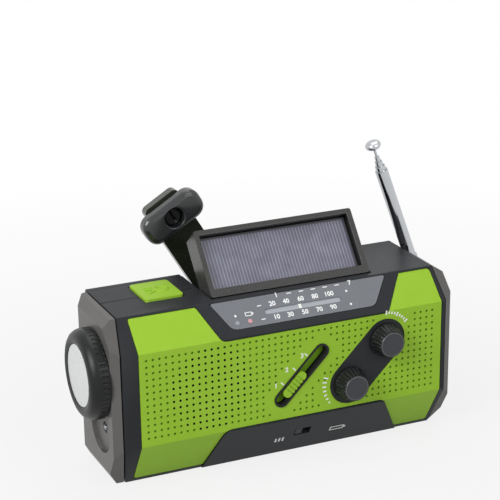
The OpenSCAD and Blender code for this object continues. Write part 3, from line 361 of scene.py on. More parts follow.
def select_only(*objs):
    """Selects these objects alone, in object mode, and makes the first one active."""
    if bpy.context.object and bpy.context.object.mode != "OBJECT":
        bpy.ops.object.mode_set(mode="OBJECT")
    bpy.ops.object.select_all(action="DESELECT")
    for o in objs:
        o.select_set(True)
    bpy.context.view_layer.objects.active = objs[0] if objs else None


def pick(piece, kind, test):
    """Selects, in edit mode, those of a piece's verts or edges that pass a test."""
    bpy.ops.mesh.select_all(action="DESELECT")
    mesh = bmesh.from_edit_mesh(piece.data)
    for part in getattr(mesh, kind):
        part.select = test(part)
    mesh.select_flush_mode()
    bmesh.update_edit_mesh(piece.data)


def face_outwards():
    """Selects the whole mesh in edit mode and turns its faces outwards."""
    bpy.ops.mesh.select_all(action="SELECT")
    bpy.ops.mesh.normals_make_consistent(inside=False)


def thicken(height):
    """Extrudes what is selected in edit mode along Z."""
    bpy.ops.mesh.extrude_region_move(TRANSFORM_OT_translate={"value": (0, 0, height)})


def round_edges(piece, width, segments, picks):
    """Rounds the edges of a piece in edit mode that picks(edge) chooses."""
    pick(piece, "edges", picks)
    bpy.ops.mesh.bevel(offset=width * MM, segments=segments, profile=0.5, affect="EDGES",
                       clamp_overlap=True)


def soften(node, key, width, angle, shortest, segments=2, shade=32.0, where=None, crease=0.0):
    """A moulded copy of a CAD node with its sharp edges rounded, standing for the node.

    Edges that fold by more than angle, in degrees, and are no shorter than shortest get a rounding
    of width. where, if given, picks among them by an edge's middle and its direction. crease is
    the wider rounding of the two long creases across the front, if the piece has them.
    """
    def on_crease(edge):
        a, b = (v.co / MM for v in edge.verts)
        at_fold = min(abs(a.z - CREASE_HI), abs(a.z - CREASE_LO)) < NEAR
        in_front = abs(a.y + BASE_MID) < NEAR
        level = abs(b.z - a.z) < 0.01
        return at_fold and level and in_front and edge.calc_face_angle(0) > CREASE_FOLD

    def is_sharp(edge):
        sharp = len(edge.link_faces) == 2 and edge.calc_face_angle(0) > math.radians(angle)
        chosen = sharp and edge.calc_length() >= shortest * MM
        if chosen and where:
            a, b = (v.co / MM for v in edge.verts)
            chosen = where((a + b) / 2, (b - a).normalized())
        return chosen

    source = frame["nodes"][node]
    piece = source.copy()
    piece.data = source.data.copy()
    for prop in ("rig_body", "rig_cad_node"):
        del piece[prop]
    piece.parent = None
    piece.name = node + "_moulding"
    bpy.context.scene.collection.objects.link(piece)
    select_only(piece)
    bpy.ops.object.mode_set(mode="EDIT")
    bpy.ops.mesh.select_all(action="SELECT")
    bpy.ops.mesh.remove_doubles(threshold=MERGE * MM)
    bpy.ops.mesh.dissolve_limited(angle_limit=FLAT_FOLD)
    if crease:
        round_edges(piece, crease, CREASE_STEPS, on_crease)
    round_edges(piece, width, segments, is_sharp)
    bpy.ops.mesh.select_all(action="SELECT")
    bpy.ops.mesh.dissolve_degenerate(threshold=TINY * MM)
    bpy.ops.object.mode_set(mode="OBJECT")
    bpy.ops.object.shade_smooth_by_angle(angle=math.radians(shade))
    even = piece.modifiers.new("even shading", "WEIGHTED_NORMAL")
    even.keep_sharp = True
    bpy.ops.object.modifier_apply(modifier=even.name)
    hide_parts(node)
    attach(piece, source["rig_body"])
    finish(piece, key)
    return piece


def paint(key, *names):
    """Gives CAD nodes that keep their own shape a finish."""
    for name in names:
        finish(frame["nodes"][name], key)


def settle(piece, matrix, body, key, name):
    """Moves a drawn piece to its face, applies its place and lets it ride on its body."""
    select_only(piece)
    piece.matrix_world = matrix @ piece.matrix_world
    bpy.ops.object.transform_apply(location=True, rotation=True, scale=True)
    piece.name = name
    finish(piece, key)
    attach(piece, body)
    return piece


def joined(pieces):
    """Joins drawn pieces into one."""
    select_only(*pieces)
    if len(pieces) > 1:
        bpy.ops.object.join()
    return bpy.context.object


def turned(profile, sides):
    """A round piece from (radius, height) steps: a disc extruded and resized step by step."""
    select_only()
    radius, level = profile[0]
    bpy.ops.mesh.primitive_circle_add(vertices=sides, radius=radius, fill_type="NGON",
                                      location=(0, 0, level))
    piece = bpy.context.object
    bpy.ops.object.transform_apply(location=True)
    bpy.ops.object.mode_set(mode="EDIT")
    for r, z in profile[1:]:
        thicken(z - level)
        bpy.ops.transform.resize(value=(r / radius, r / radius, 1))
        radius, level = r, z
    # the disc itself moved up with the first step, so the foot is closed again
    bpy.ops.mesh.select_all(action="DESELECT")
    bpy.ops.mesh.select_non_manifold()
    bpy.ops.mesh.edge_face_add()
    face_outwards()
    bpy.ops.object.mode_set(mode="OBJECT")
    bpy.ops.object.shade_smooth_by_angle(angle=math.radians(30))
    return piece


def draw_out(piece, length):
    """Draws the right half of a round piece out along X, in edit mode."""
    pick(piece, "verts", lambda vert: vert.co.x > 1e-4)
    bpy.ops.transform.translate(value=(length, 0, 0))


def stadium(length, r, depth):
    """A round-ended bar along X: a cylinder whose right half is drawn out."""
    select_only()
    bpy.ops.mesh.primitive_cylinder_add(vertices=32, radius=r, depth=depth)
    bar = bpy.context.object
    bpy.ops.object.mode_set(mode="EDIT")
    draw_out(bar, length)
    bpy.ops.object.mode_set(mode="OBJECT")
    return bar


def rounded_off(piece, cell_mm, rounds):
    """Turns stepped edges into one soft rounding, as on a piece meant for the hand."""
    select_only(piece)
    cells = piece.modifiers.new("even cells", "REMESH")
    cells.mode = "VOXEL"
    cells.voxel_size = cell_mm * MM
    cells.use_smooth_shade = True
    bpy.ops.object.modifier_apply(modifier=cells.name)
    relax = piece.modifiers.new("rounding", "SMOOTH")
    relax.factor = 0.5
    relax.iterations = rounds
    bpy.ops.object.modifier_apply(modifier=relax.name)


def ink_bar(x, y, w, h, turn=0.0, thick=INK):
    """A printed bar: a plane given the ink's thickness, then sized, turned and placed."""
    select_only()
    bpy.ops.mesh.primitive_plane_add(size=1)
    bar = bpy.context.object
    bpy.ops.object.mode_set(mode="EDIT")
    thicken(thick)
    face_outwards()
    bpy.ops.object.mode_set(mode="OBJECT")
    bar.matrix_world = (Matrix.Translation((x, y, 0))
                        @ Matrix.Rotation(math.radians(turn), 4, "Z")
                        @ Matrix.Diagonal((w, h, 1, 1)))
    bpy.ops.object.transform_apply(location=True, rotation=True, scale=True)
    return bar


def ink_dot(x, y, r, thick=INK):
    """A printed dot with a softened edge."""
    select_only()
    bpy.ops.mesh.primitive_cylinder_add(vertices=20, radius=r, depth=thick,
                                        location=(x, y, thick / 2))
    dot = bpy.context.object
    bpy.ops.object.mode_set(mode="EDIT")
    bpy.ops.mesh.select_all(action="SELECT")
    bpy.ops.mesh.bevel(offset=thick * 0.3, segments=1, affect="EDGES")
    bpy.ops.object.mode_set(mode="OBJECT")
    bpy.ops.object.transform_apply(location=True, rotation=True, scale=True)
    return dot


def ink_number(text, x, y, size):
    """A plain number, made a mesh before it is placed."""
    select_only()
    bpy.ops.object.text_add()
    word = bpy.context.object
    word.data.body = text
    word.data.size = size
    word.data.align_x = "CENTER"
    word.data.align_y = "CENTER"
    word.data.extrude = INK / 2
    word.data.offset = size * BOLDER
    word.data.resolution_u = 3
    bpy.ops.object.convert(target="MESH")
    bpy.ops.object.mode_set(mode="EDIT")
    bpy.ops.mesh.select_all(action="SELECT")
    bpy.ops.mesh.remove_doubles(threshold=MERGE)
    bpy.ops.object.mode_set(mode="OBJECT")
    word.matrix_world = Matrix.Translation((x, y, INK / 2))
    bpy.ops.object.transform_apply(location=True, rotation=True, scale=True)
    return word


def cell_sign(x, y, w, h, line):
    """A plain sign for a cell: an outline of four bars with a stud."""
    bars = [ink_bar(x, y + k * (h - line) / 2, w, line) for k in (-1, 1)]
    bars += [ink_bar(x + k * (w - line) / 2, y, line, h - 2 * line) for k in (-1, 1)]
    bars.append(ink_bar(x + w / 2 + line, y, 2 * line, h * 0.45))
    return bars


# Settings

class RadioLook(bpy.types.PropertyGroup):
    """Colours and sizes of the radio's looks."""
    charcoal: FloatVectorProperty(
        name="Charcoal", description="sRGB colour of the housing", subtype="COLOR_GAMMA",
        size=3, min=0, max=1, default=(0.15, 0.157, 0.169))
    lime: FloatVectorProperty(
        name="Lime", description="sRGB colour of the fascia", subtype="COLOR_GAMMA",
        size=3, min=0, max=1, default=(0.576, 0.741, 0.184))
    edge: FloatProperty(
        name="Moulded edge", description="Radius of the housing's edges in millimetres",
        default=0.6, min=0.1, max=1.2)
    flap_edge: FloatProperty(
        name="Flap edge", description="Radius of the flap's edges in millimetres",
        default=0.5, min=0.1, max=0.8)
    number_size: FloatProperty(
        name="Number size", description="Height of the dial's numbers in millimetres",
        default=2.8, min=1.0, max=3.2)
    key_power: FloatProperty(
        name="Key light", description="Power of the large lamp at the upper left",
        subtype="POWER", unit="POWER", default=10.0, min=0)
    fill_power: FloatProperty(
        name="Fill light", description="Power of the lamps in front and above",
        subtype="POWER", unit="POWER", default=3.2, min=0)
    floor_tone: FloatProperty(
        name="Floor", description="Brightness of the floor", subtype="FACTOR",
        default=0.55, min=0, max=1)
    bevel_steps: IntProperty(
        name="Edge steps", description="Segments in a rounded edge", default=3, min=1, max=6)


# Stage

FLOOR_SIZE = 6.0                     # metres
SHADOW_NEAR, SHADOW_FAR = 0.1, 0.4   # metres from the radio between which the floor turns white
NEAR_WHITE = 0.82                    # share of white in the floor beside the radio
SKY_LIGHT = 0.3                      # light from the white world on the radio
LAMP_TARGET = Vector((0, 0, 0.04))
# the photograph's camera, from the grid of grille dots: degrees round, up and rolled, then pixels
PHOTO_SIZE = 500
PHOTO_ANGLES = (-23.18, 20.63, -1.08)
PHOTO_FOCAL = 1714.14
PHOTO_CENTRE = (230.13, 305.98)
PHOTO_TARGET = Vector((-25.69, -BASE_MID, 73.03))
PHOTO_DISTANCE = 668.56
SENSOR = 36


def seen_directly(tree):
    """One where a ray shows a surface to the eye, also by mirrors and glass; zero for its light."""
    path = add_node(tree, "ShaderNodeLightPath")
    seen = path.outputs["Is Camera Ray"]
    for ray in ("Is Glossy Ray", "Is Transmission Ray"):
        seen = add_node(tree, "ShaderNodeMath", {"operation": "MAXIMUM"},
                        {0: seen, 1: path.outputs[ray]}).outputs[0]
    return seen


class RADIO_OT_stage(bpy.types.Operator):
    """Floor, world, lamps and camera"""
    bl_idname = "radio.stage"
    bl_label = "Stage"

    def execute(self, context):
        look = context.scene.radio_look
        self.lay_floor(look.floor_tone)
        self.light_world(context.scene)
        self.hang_lamps(context.scene, look)
        self.place_camera(context.scene)
        context.scene.view_settings.view_transform = "Standard"
        return {"FINISHED"}

    def lay_floor(self, tone):
        """A pale floor that shows white further off and keeps the radio's shadow."""
        select_only()
        bpy.ops.mesh.primitive_plane_add(size=FLOOR_SIZE)
        floor = bpy.context.object
        floor.name = "studio_floor"
        material = bpy.data.materials.new("painted studio floor")
        material.use_nodes = True
        tree = material.node_tree
        tree.nodes.clear()
        matt = add_node(tree, "ShaderNodeBsdfDiffuse", {"Color": (tone, tone, tone, 1.0)})
        white = add_node(tree, "ShaderNodeEmission", {"Color": (1, 1, 1, 1), "Strength": 1.0})
        where = add_node(tree, "ShaderNodeTexCoord")
        far = add_node(tree, "ShaderNodeVectorMath", {"operation": "LENGTH"},
                       {0: where.outputs["Object"]})
        fade = add_node(tree, "ShaderNodeMapRange",
                        {"From Min": SHADOW_NEAR, "From Max": SHADOW_FAR, "To Min": NEAR_WHITE,
                         "To Max": 1.0}, {"Value": far.outputs["Value"]})
        share = add_node(tree, "ShaderNodeMath", {"operation": "MULTIPLY"},
                         {0: seen_directly(tree), 1: fade.outputs["Result"]})
        mix = add_node(tree, "ShaderNodeMixShader", links={
            0: share.outputs[0], 1: matt.outputs[0], 2: white.outputs[0]})
        add_node(tree, "ShaderNodeOutputMaterial", links={"Surface": mix.outputs[0]})
        floor.data.materials.append(material)

    def light_world(self, scene):
        """A world that looks white and lights the radio softly."""
        world = bpy.data.worlds.new("white studio")
        scene.world = world
        world.use_nodes = True
        tree = world.node_tree
        tree.nodes.clear()
        level = add_node(tree, "ShaderNodeMapRange", {"To Min": SKY_LIGHT, "To Max": 1.0},
                         {"Value": seen_directly(tree)})
        sky = add_node(tree, "ShaderNodeBackground", {"Color": (1, 1, 1, 1)},
                       {"Strength": level.outputs["Result"]})
        add_node(tree, "ShaderNodeOutputWorld", links={"Surface": sky.outputs[0]})

    def hang_lamps(self, scene, look):
        """Three large soft lamps, each with its place and size in metres."""
        for name, place, size, power in (
                ("key", (-0.95, -0.4, 0.7), 0.6, look.key_power),
                ("fill", (0.3, -0.95, 0.6), 0.7, look.fill_power),
                ("top", (0.1, 0.25, 1.0), 0.7, look.fill_power)):
            lamp = bpy.data.lights.new(name, "AREA")
            lamp.shape = "SQUARE"
            lamp.size = size
            lamp.energy = power
            holder = bpy.data.objects.new(name + "_lamp", lamp)
            scene.collection.objects.link(holder)
            holder.location = place
            aim = LAMP_TARGET - Vector(place)
            holder.rotation_euler = aim.to_track_quat("-Z", "Y").to_euler()

    def place_camera(self, scene):
        """The camera of the photograph."""
        az, el, roll = (math.radians(a) for a in PHOTO_ANGLES)
        back = Vector((math.sin(az) * math.cos(el), -math.cos(az) * math.cos(el), math.sin(el)))
        right = (-back).cross(Vector((0, 0, 1))).normalized()
        up = right.cross(-back)
        right, up = (math.cos(roll) * right + math.sin(roll) * up,
                     math.cos(roll) * up - math.sin(roll) * right)
        eye = bpy.data.cameras.new("photo_camera")
        eye.sensor_width = SENSOR
        eye.lens = PHOTO_FOCAL / PHOTO_SIZE * SENSOR
        eye.shift_x = (PHOTO_SIZE / 2 - PHOTO_CENTRE[0]) / PHOTO_SIZE
        eye.shift_y = (PHOTO_CENTRE[1] - PHOTO_SIZE / 2) / PHOTO_SIZE
        eye.clip_start = 0.05
        eye.clip_end = 20
        camera = bpy.data.objects.new("photo_camera", eye)
        scene.collection.objects.link(camera)
        pose = Matrix((right, up, back)).transposed().to_4x4()
        pose.translation = (PHOTO_TARGET + back * PHOTO_DISTANCE) * MM
        camera.matrix_world = pose
        scene.camera = camera


# Pieces

EYE = (CAP_FACE + 2.3, TORCH_Y - 3.7, 24)      # the round eye in the left end cap
EYE_PIN = ((1.15, -1.2), (1.15, 0.5), (1.0, 0.85), (0.7, 1.1), (0.35, 1.2))


class RADIO_OT_housing(bpy.types.Operator):
    """Housing halves, end caps, doors and screws"""
    bl_idname = "radio.housing"
    bl_label = "Housing"

    def execute(self, context):
        look = context.scene.radio_look
        steps = look.bevel_steps
        soften("front_housing", "case", width=look.edge, angle=10, shortest=1.5, segments=steps,
               where=self.outer_edge)
        soften("rear_cover", "case", width=look.edge * 0.8, angle=25, shortest=2.0,
               segments=steps, where=self.rear_edge)
        for cap in ("left_end_cap", "right_end_cap"):
            soften(cap, "cap", width=look.edge, angle=12, shortest=2.0, segments=steps)
        soften("battery_door", "case", width=0.25, angle=25, shortest=0.5)
        soften("port_flap", "rubber", width=0.3, angle=25, shortest=0.3)
        soften("case_screws", "steel", width=0.12, angle=25, shortest=0.1)
        self.eye_pin()
        return {"FINISHED"}

    def rear_edge(self, at, along):
        """Whether an edge lies on the rear cover's outside."""
        return at.y > REAR - NEAR or abs(at.x) > ENDS or at.z > HEIGHT - 0.2 or at.z < NEAR

    def outer_edge(self, at, along):
        """Whether an edge lies on the housing's outside, apart from the pockets let into it."""
        fold = at.y < 0.2 - BASE_MID and abs(along.x) > 0.95
        upper = at.z > HEIGHT - 0.2 and at.y < RECESS_FRONT
        return abs(at.x) > ENDS or upper or at.z < NEAR or fold

    def eye_pin(self):
        """The polished pin that stands in the round eye of the left end cap."""
        place = plane_frame(EYE, (0, -1, 0), (0, 0, 1))
        settle(turned(EYE_PIN, 32), place, "case", "steel", "cap_eye_pin")


SKIN = 0.2                           # faces further in than this belong to dots and the slot
UPRIGHT = 0.2                        # a wall's normal leans to the front by less than this
DOT_ROOM = 0.6                       # the outer dots of the grille reach this far past its circle
CREASE_ROOM = 1.0                    # no dot is nearer to a crease
SHADE_SHEET_T, SHADE_SHEET_GAP = 0.3, 0.05     # the black sheet of painted shade, and its gap behind the fascia
PIT_AREA = 1.0                       # a blind dot's floor and walls have smaller faces than this
PIT_REACH = 68.2                     # the outermost blind dots end here, on both sides
RIM_R, RIM_W, RIM_H, RIM_ROUND = 3.35, 0.85, 0.35, 0.22
STOPS = (0.2, 0.5, 0.8)              # places of the band's marks along the slot, as shares
STOP_REACH, STOP_L, STOP_W, STOP_TURN = 4.6, 1.8, 0.5, 135
STOP_NUMBERS = (("1", -6.3, 35.4), ("2", -1.4, 41.5), ("3", 5.4, 46.4))
STOP_NUMBER_SIZE = 2.8
TICK_REACH, TICK_W = 11.6, 0.6
LOUDNESS = (160, 9.5, [2.1 - 0.2 * i for i in range(7)])     # first angle, step, tick lengths
TUNING = (36, 6.5, [1.9 if i % 4 == 0 else 1.1 for i in range(9)])
# on the tray, X from its middle and Y up its slope
TRAY_BARS, TRAY_BAR_ROW, TRAY_BAR_W, TRAY_BAR_L = (-11.4, -9.8, -8.2), -13.4, 0.8, 2.4
TRAY_CELL = (16.4, -12.8, 6.4, 2.4, 0.45)    # place, size and line of the cell sign


class RADIO_OT_fascia(bpy.types.Operator):
    """Lime fascia, the slot's rim and the printed marks"""
    bl_idname = "radio.fascia"
    bl_label = "Fascia"

    def execute(self, context):
        fascia = soften("front_fascia", "lime", width=0.35, angle=15, shortest=0.28, crease=1.4)
        self.blacken(fascia)
        self.grille_screen()
        self.slot_rim()
        self.fascia_marks()
        self.tray_marks()
        return {"FINISHED"}

    def blacken(self, fascia):
        """Black walls in the pierced dots as painted shade and in the slot as its liner, and dull
        darker lime ones in the blind dots as painted shade.
        """
        for key in ("screen", "pit"):
            fascia.data.materials.append(FINISH[key])
        run = SLOT_HI - SLOT_LO
        for face in fascia.data.polygons:
            at = face.center / MM
            spot = Vector((at.x, at.z))
            flat = CREASE_LO + CREASE_ROOM < at.z < CREASE_HI - CREASE_ROOM
            deep = at.y > SKIN - BASE_MID and flat
            wall = deep and abs(face.normal.y) < UPRIGHT
            share = min(max((spot - SLOT_LO).dot(run) / run.length_squared, 0), 1)
            slot = (spot - SLOT_LO - share * run).length < SLOT_R + NEAR
            small = face.area < PIT_AREA * MM * MM and face.normal.y < UPRIGHT
            # painted shade: the pierced dots' walls turn black; the slot's walls turn black as its
            # liner
            if wall and ((spot - SPEAKER).length < GRILLE_R + DOT_ROOM or slot):
                face.material_index = 1
            # painted shade: the blind dots' small inner faces get the darker lime
            elif deep and small and abs(at.x) < PIT_REACH:
                face.material_index = 2

    def grille_screen(self):
        """A black sheet behind the loudspeaker's dots: painted shade that makes the pierced dots
        show black.
        """
        select_only()
        bpy.ops.mesh.primitive_circle_add(vertices=64, radius=GRILLE_R, fill_type="NGON")
        screen = bpy.context.object
        bpy.ops.object.mode_set(mode="EDIT")
        thicken(-SHADE_SHEET_T)
        face_outwards()
        bpy.ops.object.mode_set(mode="OBJECT")
        behind = -FASCIA_T - SHADE_SHEET_GAP
        screen.matrix_world = Matrix.Translation((SPEAKER.x, SPEAKER.y, behind))
        settle(screen, FRONT, "case", "screen", "grille_screen")

    def slot_rim(self):
        """A raised black rim round the band slot, and the slot's floor."""
        run = SLOT_HI - SLOT_LO
        select_only()
        bpy.ops.mesh.primitive_circle_add(vertices=48, radius=RIM_R, fill_type="NGON")
        rim = bpy.context.object
        bpy.ops.object.mode_set(mode="EDIT")
        draw_out(rim, run.length)
        bpy.ops.mesh.select_all(action="SELECT")
        bpy.ops.mesh.inset(thickness=RIM_W)
        bpy.ops.mesh.delete(type="FACE")
        bpy.ops.mesh.select_all(action="SELECT")
        thicken(RIM_H)
        face_outwards()
        pick(rim, "edges", lambda edge: (all(v.co.z > RIM_H / 2 for v in edge.verts)
                                         and edge.calc_face_angle(0) > 0.8))
        bpy.ops.mesh.bevel(offset=RIM_ROUND, segments=3, affect="EDGES")
        bpy.ops.object.mode_set(mode="OBJECT")
        bpy.ops.object.shade_smooth_by_angle(angle=math.radians(40))
        place = (Matrix.Translation((SLOT_LO.x, SLOT_LO.y, 0))
                 @ Matrix.Rotation(math.atan2(run.y, run.x), 4, "Z"))
        rim.matrix_world = place
        settle(rim, FRONT, "case", "black", "band_slot_rim")
        # the slot's floor: lime painted darker as painted shade
        floor = stadium(run.length, SLOT_R - 0.1, 0.1)
        floor.matrix_world = place @ Matrix.Translation((0, 0, -SLOT_FLOOR))
        settle(floor, FRONT, "case", "pit", "band_slot_floor")

    def fascia_marks(self):
        """Plain marks in white ink: three numbered stops by the slot and ticks by the knobs."""
        marks = []
        across = Vector((-1, 1)).normalized()
        for share in STOPS:
            p = SLOT_LO.lerp(SLOT_HI, share) + across * STOP_REACH
            marks.append(ink_bar(p.x, p.y, STOP_L, STOP_W, STOP_TURN))
        for text, x, z in STOP_NUMBERS:
            marks.append(ink_number(text, x, z, STOP_NUMBER_SIZE))
        for knob, (first, step, lengths) in ((KNOB_LO, LOUDNESS), (KNOB_HI, TUNING)):
            for i, length in enumerate(lengths):
                turn = math.radians(first + i * step)
                p = knob + TICK_REACH * Vector((math.cos(turn), math.sin(turn)))
                marks.append(ink_bar(p.x, p.y, length, TICK_W, math.degrees(turn)))
        settle(joined(marks), FRONT, "case", "ink", "fascia_marks")

    def tray_marks(self):
        """Three bars and a plain cell sign, one on each side of the source lever."""
        marks = [ink_bar(x, TRAY_BAR_ROW, TRAY_BAR_W, TRAY_BAR_L) for x in TRAY_BARS]
        marks += cell_sign(*TRAY_CELL)
        settle(joined(marks), TRAY, "case", "ink", "tray_marks")


# on the dial, X from its middle and Y up its slope
SCALE_LEFT, SCALE_RIGHT, SCALE_ROW = -14.6, 17.2, 8.9        # the slot in the window
SCALE_R, SCALE_CUT = 1.15, 6.0
STRIP_R, STRIP_T, STRIP_LEVEL = 1.1, 0.2, -0.55
FLAG_SIZE, FLAG_EDGE, FLAG_LEVEL = (1.3, 2.0, 0.3), 0.08, -0.25
NUMBER_PLACES = (-11.4, -5.3, 1.2, 7.6, 13.9)
NUMBER_ROWS = ((11.9, ("20", "40", "60", "80", "100")), (5.9, ("10", "30", "50", "70", "90")))
ROW_BAR_X, ROW_BAR_L, ROW_BAR_W = -17.2, 1.8, 0.42           # left of each row of numbers
ROW_DOT_X, DOT_R = 21.8, 0.5                                 # right of it
DASH_ROW, DASH_L, DASH_W = 15.2, 2.0, 0.38
DASH_PLACES = [-3.0 + 5.4 * i for i in range(5)]
DASH_ENDS = (("1", -8.6), ("7", 24.4))
LAMPS = (("charge_lamp", -28.5, "led_grey"), ("tuned_lamp", -23.0, "led_red"))
LAMP_ROW, LAMP_R, LAMP_H = 6.0, 0.95, 0.25
LAMP_SIGN_ROW, LAMP_DOT_X = 9.2, -28.4
LAMP_CELL = (-22.7, LAMP_SIGN_ROW, 3.0, 1.7, 0.3)            # place, size and line of the cell sign


class RADIO_OT_dial(bpy.types.Operator):
    """Dial window with its scale slot, numbers, pointer and lamps"""
    bl_idname = "radio.dial"
    bl_label = "Dial"

    def execute(self, context):
        self.scale_slot(soften("dial_window", "window", width=0.15, angle=40, shortest=0.5))
        self.pointer_flag()
        for name, x, key in LAMPS:
            settle(ink_dot(x, LAMP_ROW, LAMP_R, LAMP_H), DIAL, "case", key, name)
        self.lettering(context.scene.radio_look.number_size)
        paint("scale", "dial_plate")
        soften("tuning_pointer", "white", width=0.12, angle=30, shortest=0.2)
        soften("indicator_leds", "led_red", width=0.15, angle=30, shortest=0.05)
        return {"FINISHED"}

    def scale_slot(self, window):
        """A round-ended slot cut in the window, with a pale strip in it."""
        length = SCALE_RIGHT - SCALE_LEFT
        cutter = stadium(length, SCALE_R, SCALE_CUT)
        cutter.matrix_world = DIAL @ Matrix.Translation((SCALE_LEFT, SCALE_ROW, 0))
        select_only(window)
        cut = window.modifiers.new("scale slot", "BOOLEAN")
        cut.operation = "DIFFERENCE"
        cut.solver = "EXACT"
        cut.object = cutter
        bpy.ops.object.modifier_apply(modifier=cut.name)
        bpy.data.objects.remove(cutter)
        strip = stadium(length, STRIP_R, STRIP_T)
        strip.matrix_world = Matrix.Translation((SCALE_LEFT, SCALE_ROW, STRIP_LEVEL))
        settle(strip, DIAL, "case", "scale", "scale_strip")

    def pointer_flag(self):
        """The pointer's white face, which runs in the slot over the strip."""
        select_only()
        bpy.ops.mesh.primitive_cube_add(size=1)
        flag = bpy.context.object
        bpy.ops.transform.resize(value=FLAG_SIZE)
        bpy.ops.object.transform_apply(scale=True)
        bpy.ops.object.mode_set(mode="EDIT")
        bpy.ops.mesh.select_all(action="SELECT")
        bpy.ops.mesh.bevel(offset=FLAG_EDGE, segments=2, affect="EDGES")
        bpy.ops.object.mode_set(mode="OBJECT")
        flag.matrix_world = Matrix.Translation((0, SCALE_ROW, FLAG_LEVEL))
        settle(flag, DIAL, "dial_pointer", "white", "pointer_flag")

    def lettering(self, size):
        """Two rows of plain numbers between row marks, a row of dashes and the lamps' signs."""
        prints = []
        for row, texts in NUMBER_ROWS:
            for text, x in zip(texts, NUMBER_PLACES):
                prints.append(ink_number(text, x, row, size))
        for x in DASH_PLACES:
            prints.append(ink_bar(x, DASH_ROW, DASH_L, DASH_W))
        for text, x in DASH_ENDS:
            prints.append(ink_number(text, x, DASH_ROW, size))
        for row, _ in NUMBER_ROWS:
            prints.append(ink_bar(ROW_BAR_X, row, ROW_BAR_L, ROW_BAR_W))
            prints.append(ink_dot(ROW_DOT_X, row, DOT_R))
        prints.append(ink_dot(LAMP_DOT_X, LAMP_SIGN_ROW, DOT_R))
        prints += cell_sign(*LAMP_CELL)
        settle(joined(prints), DIAL, "case", "ink", "dial_numbers")


KNOB_CAP = ((5.2, 6.2), (5.2, 6.5), (5.1, 6.65), (4.95, 6.7), (4.75, 6.7), (4.6, 6.58))
KNOB_RING_R = 4.7                    # the ring painted lighter as a highlight begins here
SIGN_X, SIGN_R, SIGN_LINE = 2.2, 2.6, 0.42       # the ring in the lamp button's sign
RAY_TURNS, RAY_REACH, RAY_L, RAY_W, RAY_H = (-28, 0, 28), 5.6, 3.0, 0.8, 0.35


class RADIO_OT_controls(bpy.types.Operator):
    """Knobs, band slider, source lever and lamp button"""
    bl_idname = "radio.controls"
    bl_label = "Controls"

    def execute(self, context):
        soften("knob_plate", "case", width=0.2, angle=40, shortest=0.1)
        for node in ("tuning_knob", "volume_knob"):
            soften(node, "knob", width=0.12, angle=35, shortest=0.15)
        soften("band_slider", "lime", width=0.25, angle=30, shortest=0.2)
        soften("source_switch", "black", width=0.25, angle=30, shortest=0.2)
        soften("lamp_button", "lime", width=0.5, angle=30, shortest=0.3, segments=3)
        paint("steel", "tuning_shaft", "volume_shaft")
        self.knob_caps()
        self.lamp_sign()
        return {"FINISHED"}

    def knob_caps(self):
        """A paler disc let into each knob's face, with a ring at its edge painted lighter as a
        highlight.
        """
        for at, body in ((KNOB_LO, "volume_control"), (KNOB_HI, "tuning_control")):
            disc = turned(KNOB_CAP, 64)
            disc.matrix_world = Matrix.Translation((at.x, at.y, 0)) @ disc.matrix_world
            settle(disc, FRONT, body, "knob_cap", body.replace("control", "knob_cap"))
            disc.data.materials.append(FINISH["knob_ring"])
            for face in disc.data.polygons:
                spot = Vector((face.center.x, face.center.z)) / MM
                # painted highlight: the ring's front faces get the lighter finish
                if (spot - at).length > KNOB_RING_R and face.normal.y < -0.5:
                    face.material_index = 1

    def lamp_sign(self):
        """A raised sign on the lamp button: a ring with three short rays."""
        low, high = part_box("lamp_button")
        top = Vector(((low.x + high.x) / 2, (low.y + high.y) / 2, high.z))
        select_only()
        bpy.ops.mesh.primitive_torus_add(
            major_segments=40, minor_segments=10, major_radius=SIGN_R, minor_radius=SIGN_LINE,
            location=(SIGN_X, 0, 0))
        signs = [bpy.context.object]
        bpy.ops.object.transform_apply(location=True)
        for turn in RAY_TURNS:
            ray = ink_bar(0, 0, RAY_L, RAY_W, thick=RAY_H)
            ray.matrix_world = (Matrix.Translation((SIGN_X, 0, 0))
                                @ Matrix.Rotation(math.radians(180 + turn), 4, "Z")
                                @ Matrix.Translation((RAY_REACH, 0, 0)))
            bpy.ops.object.transform_apply(location=True, rotation=True)
            signs.append(ray)
        sign = joined(signs)
        bpy.ops.object.shade_smooth_by_angle(angle=math.radians(40))
        place = Matrix.Translation(top) @ Matrix.Scale(MM, 4)
        settle(sign, place, "lamp_control", "lime", "lamp_button_sign")


class RADIO_OT_solar_flap(bpy.types.Operator):
    """Frame, shell, cell and reading lamp of the solar flap"""
    bl_idname = "radio.solar_flap"
    bl_label = "Solar flap"

    def execute(self, context):
        look = context.scene.radio_look
        edge, steps = look.flap_edge, look.bevel_steps
        soften("flap_frame", "flap", width=edge, angle=30, shortest=1.0, segments=steps)
        self.blacken(soften("flap_shell", "flap", width=edge, angle=30, shortest=2.5,
                            segments=steps))
        soften("solar_cell", "solar", width=0.2, angle=30, shortest=0.5)
        soften("reading_lamp", "white", width=0.4, angle=30, shortest=0.5)
        paint("steel", "flap_pins")
        return {"FINISHED"}

    def blacken(self, shell):
        """Painted shade: black in the shell's pocket round the cell."""
        shell.data.materials.append(FINISH["flap_dark"])
        out = Vector((0, -math.sin(FLAP_ANGLE), math.cos(FLAP_ANGLE)))
        along = Vector((0, math.cos(FLAP_ANGLE), math.sin(FLAP_ANGLE)))
        low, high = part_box("solar_cell")
        cell = [v.co for v in frame["nodes"]["solar_cell"].data.vertices]
        bed = min(out.dot(c) for c in cell)
        rows = [along.dot(c) for c in cell]
        room = NEAR * MM
        for face in shell.data.polygons:
            at = face.center
            beside = low.x - room < at.x < high.x + room
            level = min(rows) - room < along.dot(at) < max(rows) + room
            # painted shade: the pocket's faces round the cell turn black
            if beside and level and out.dot(at) > bed - 0.1 * MM:
                face.material_index = 1


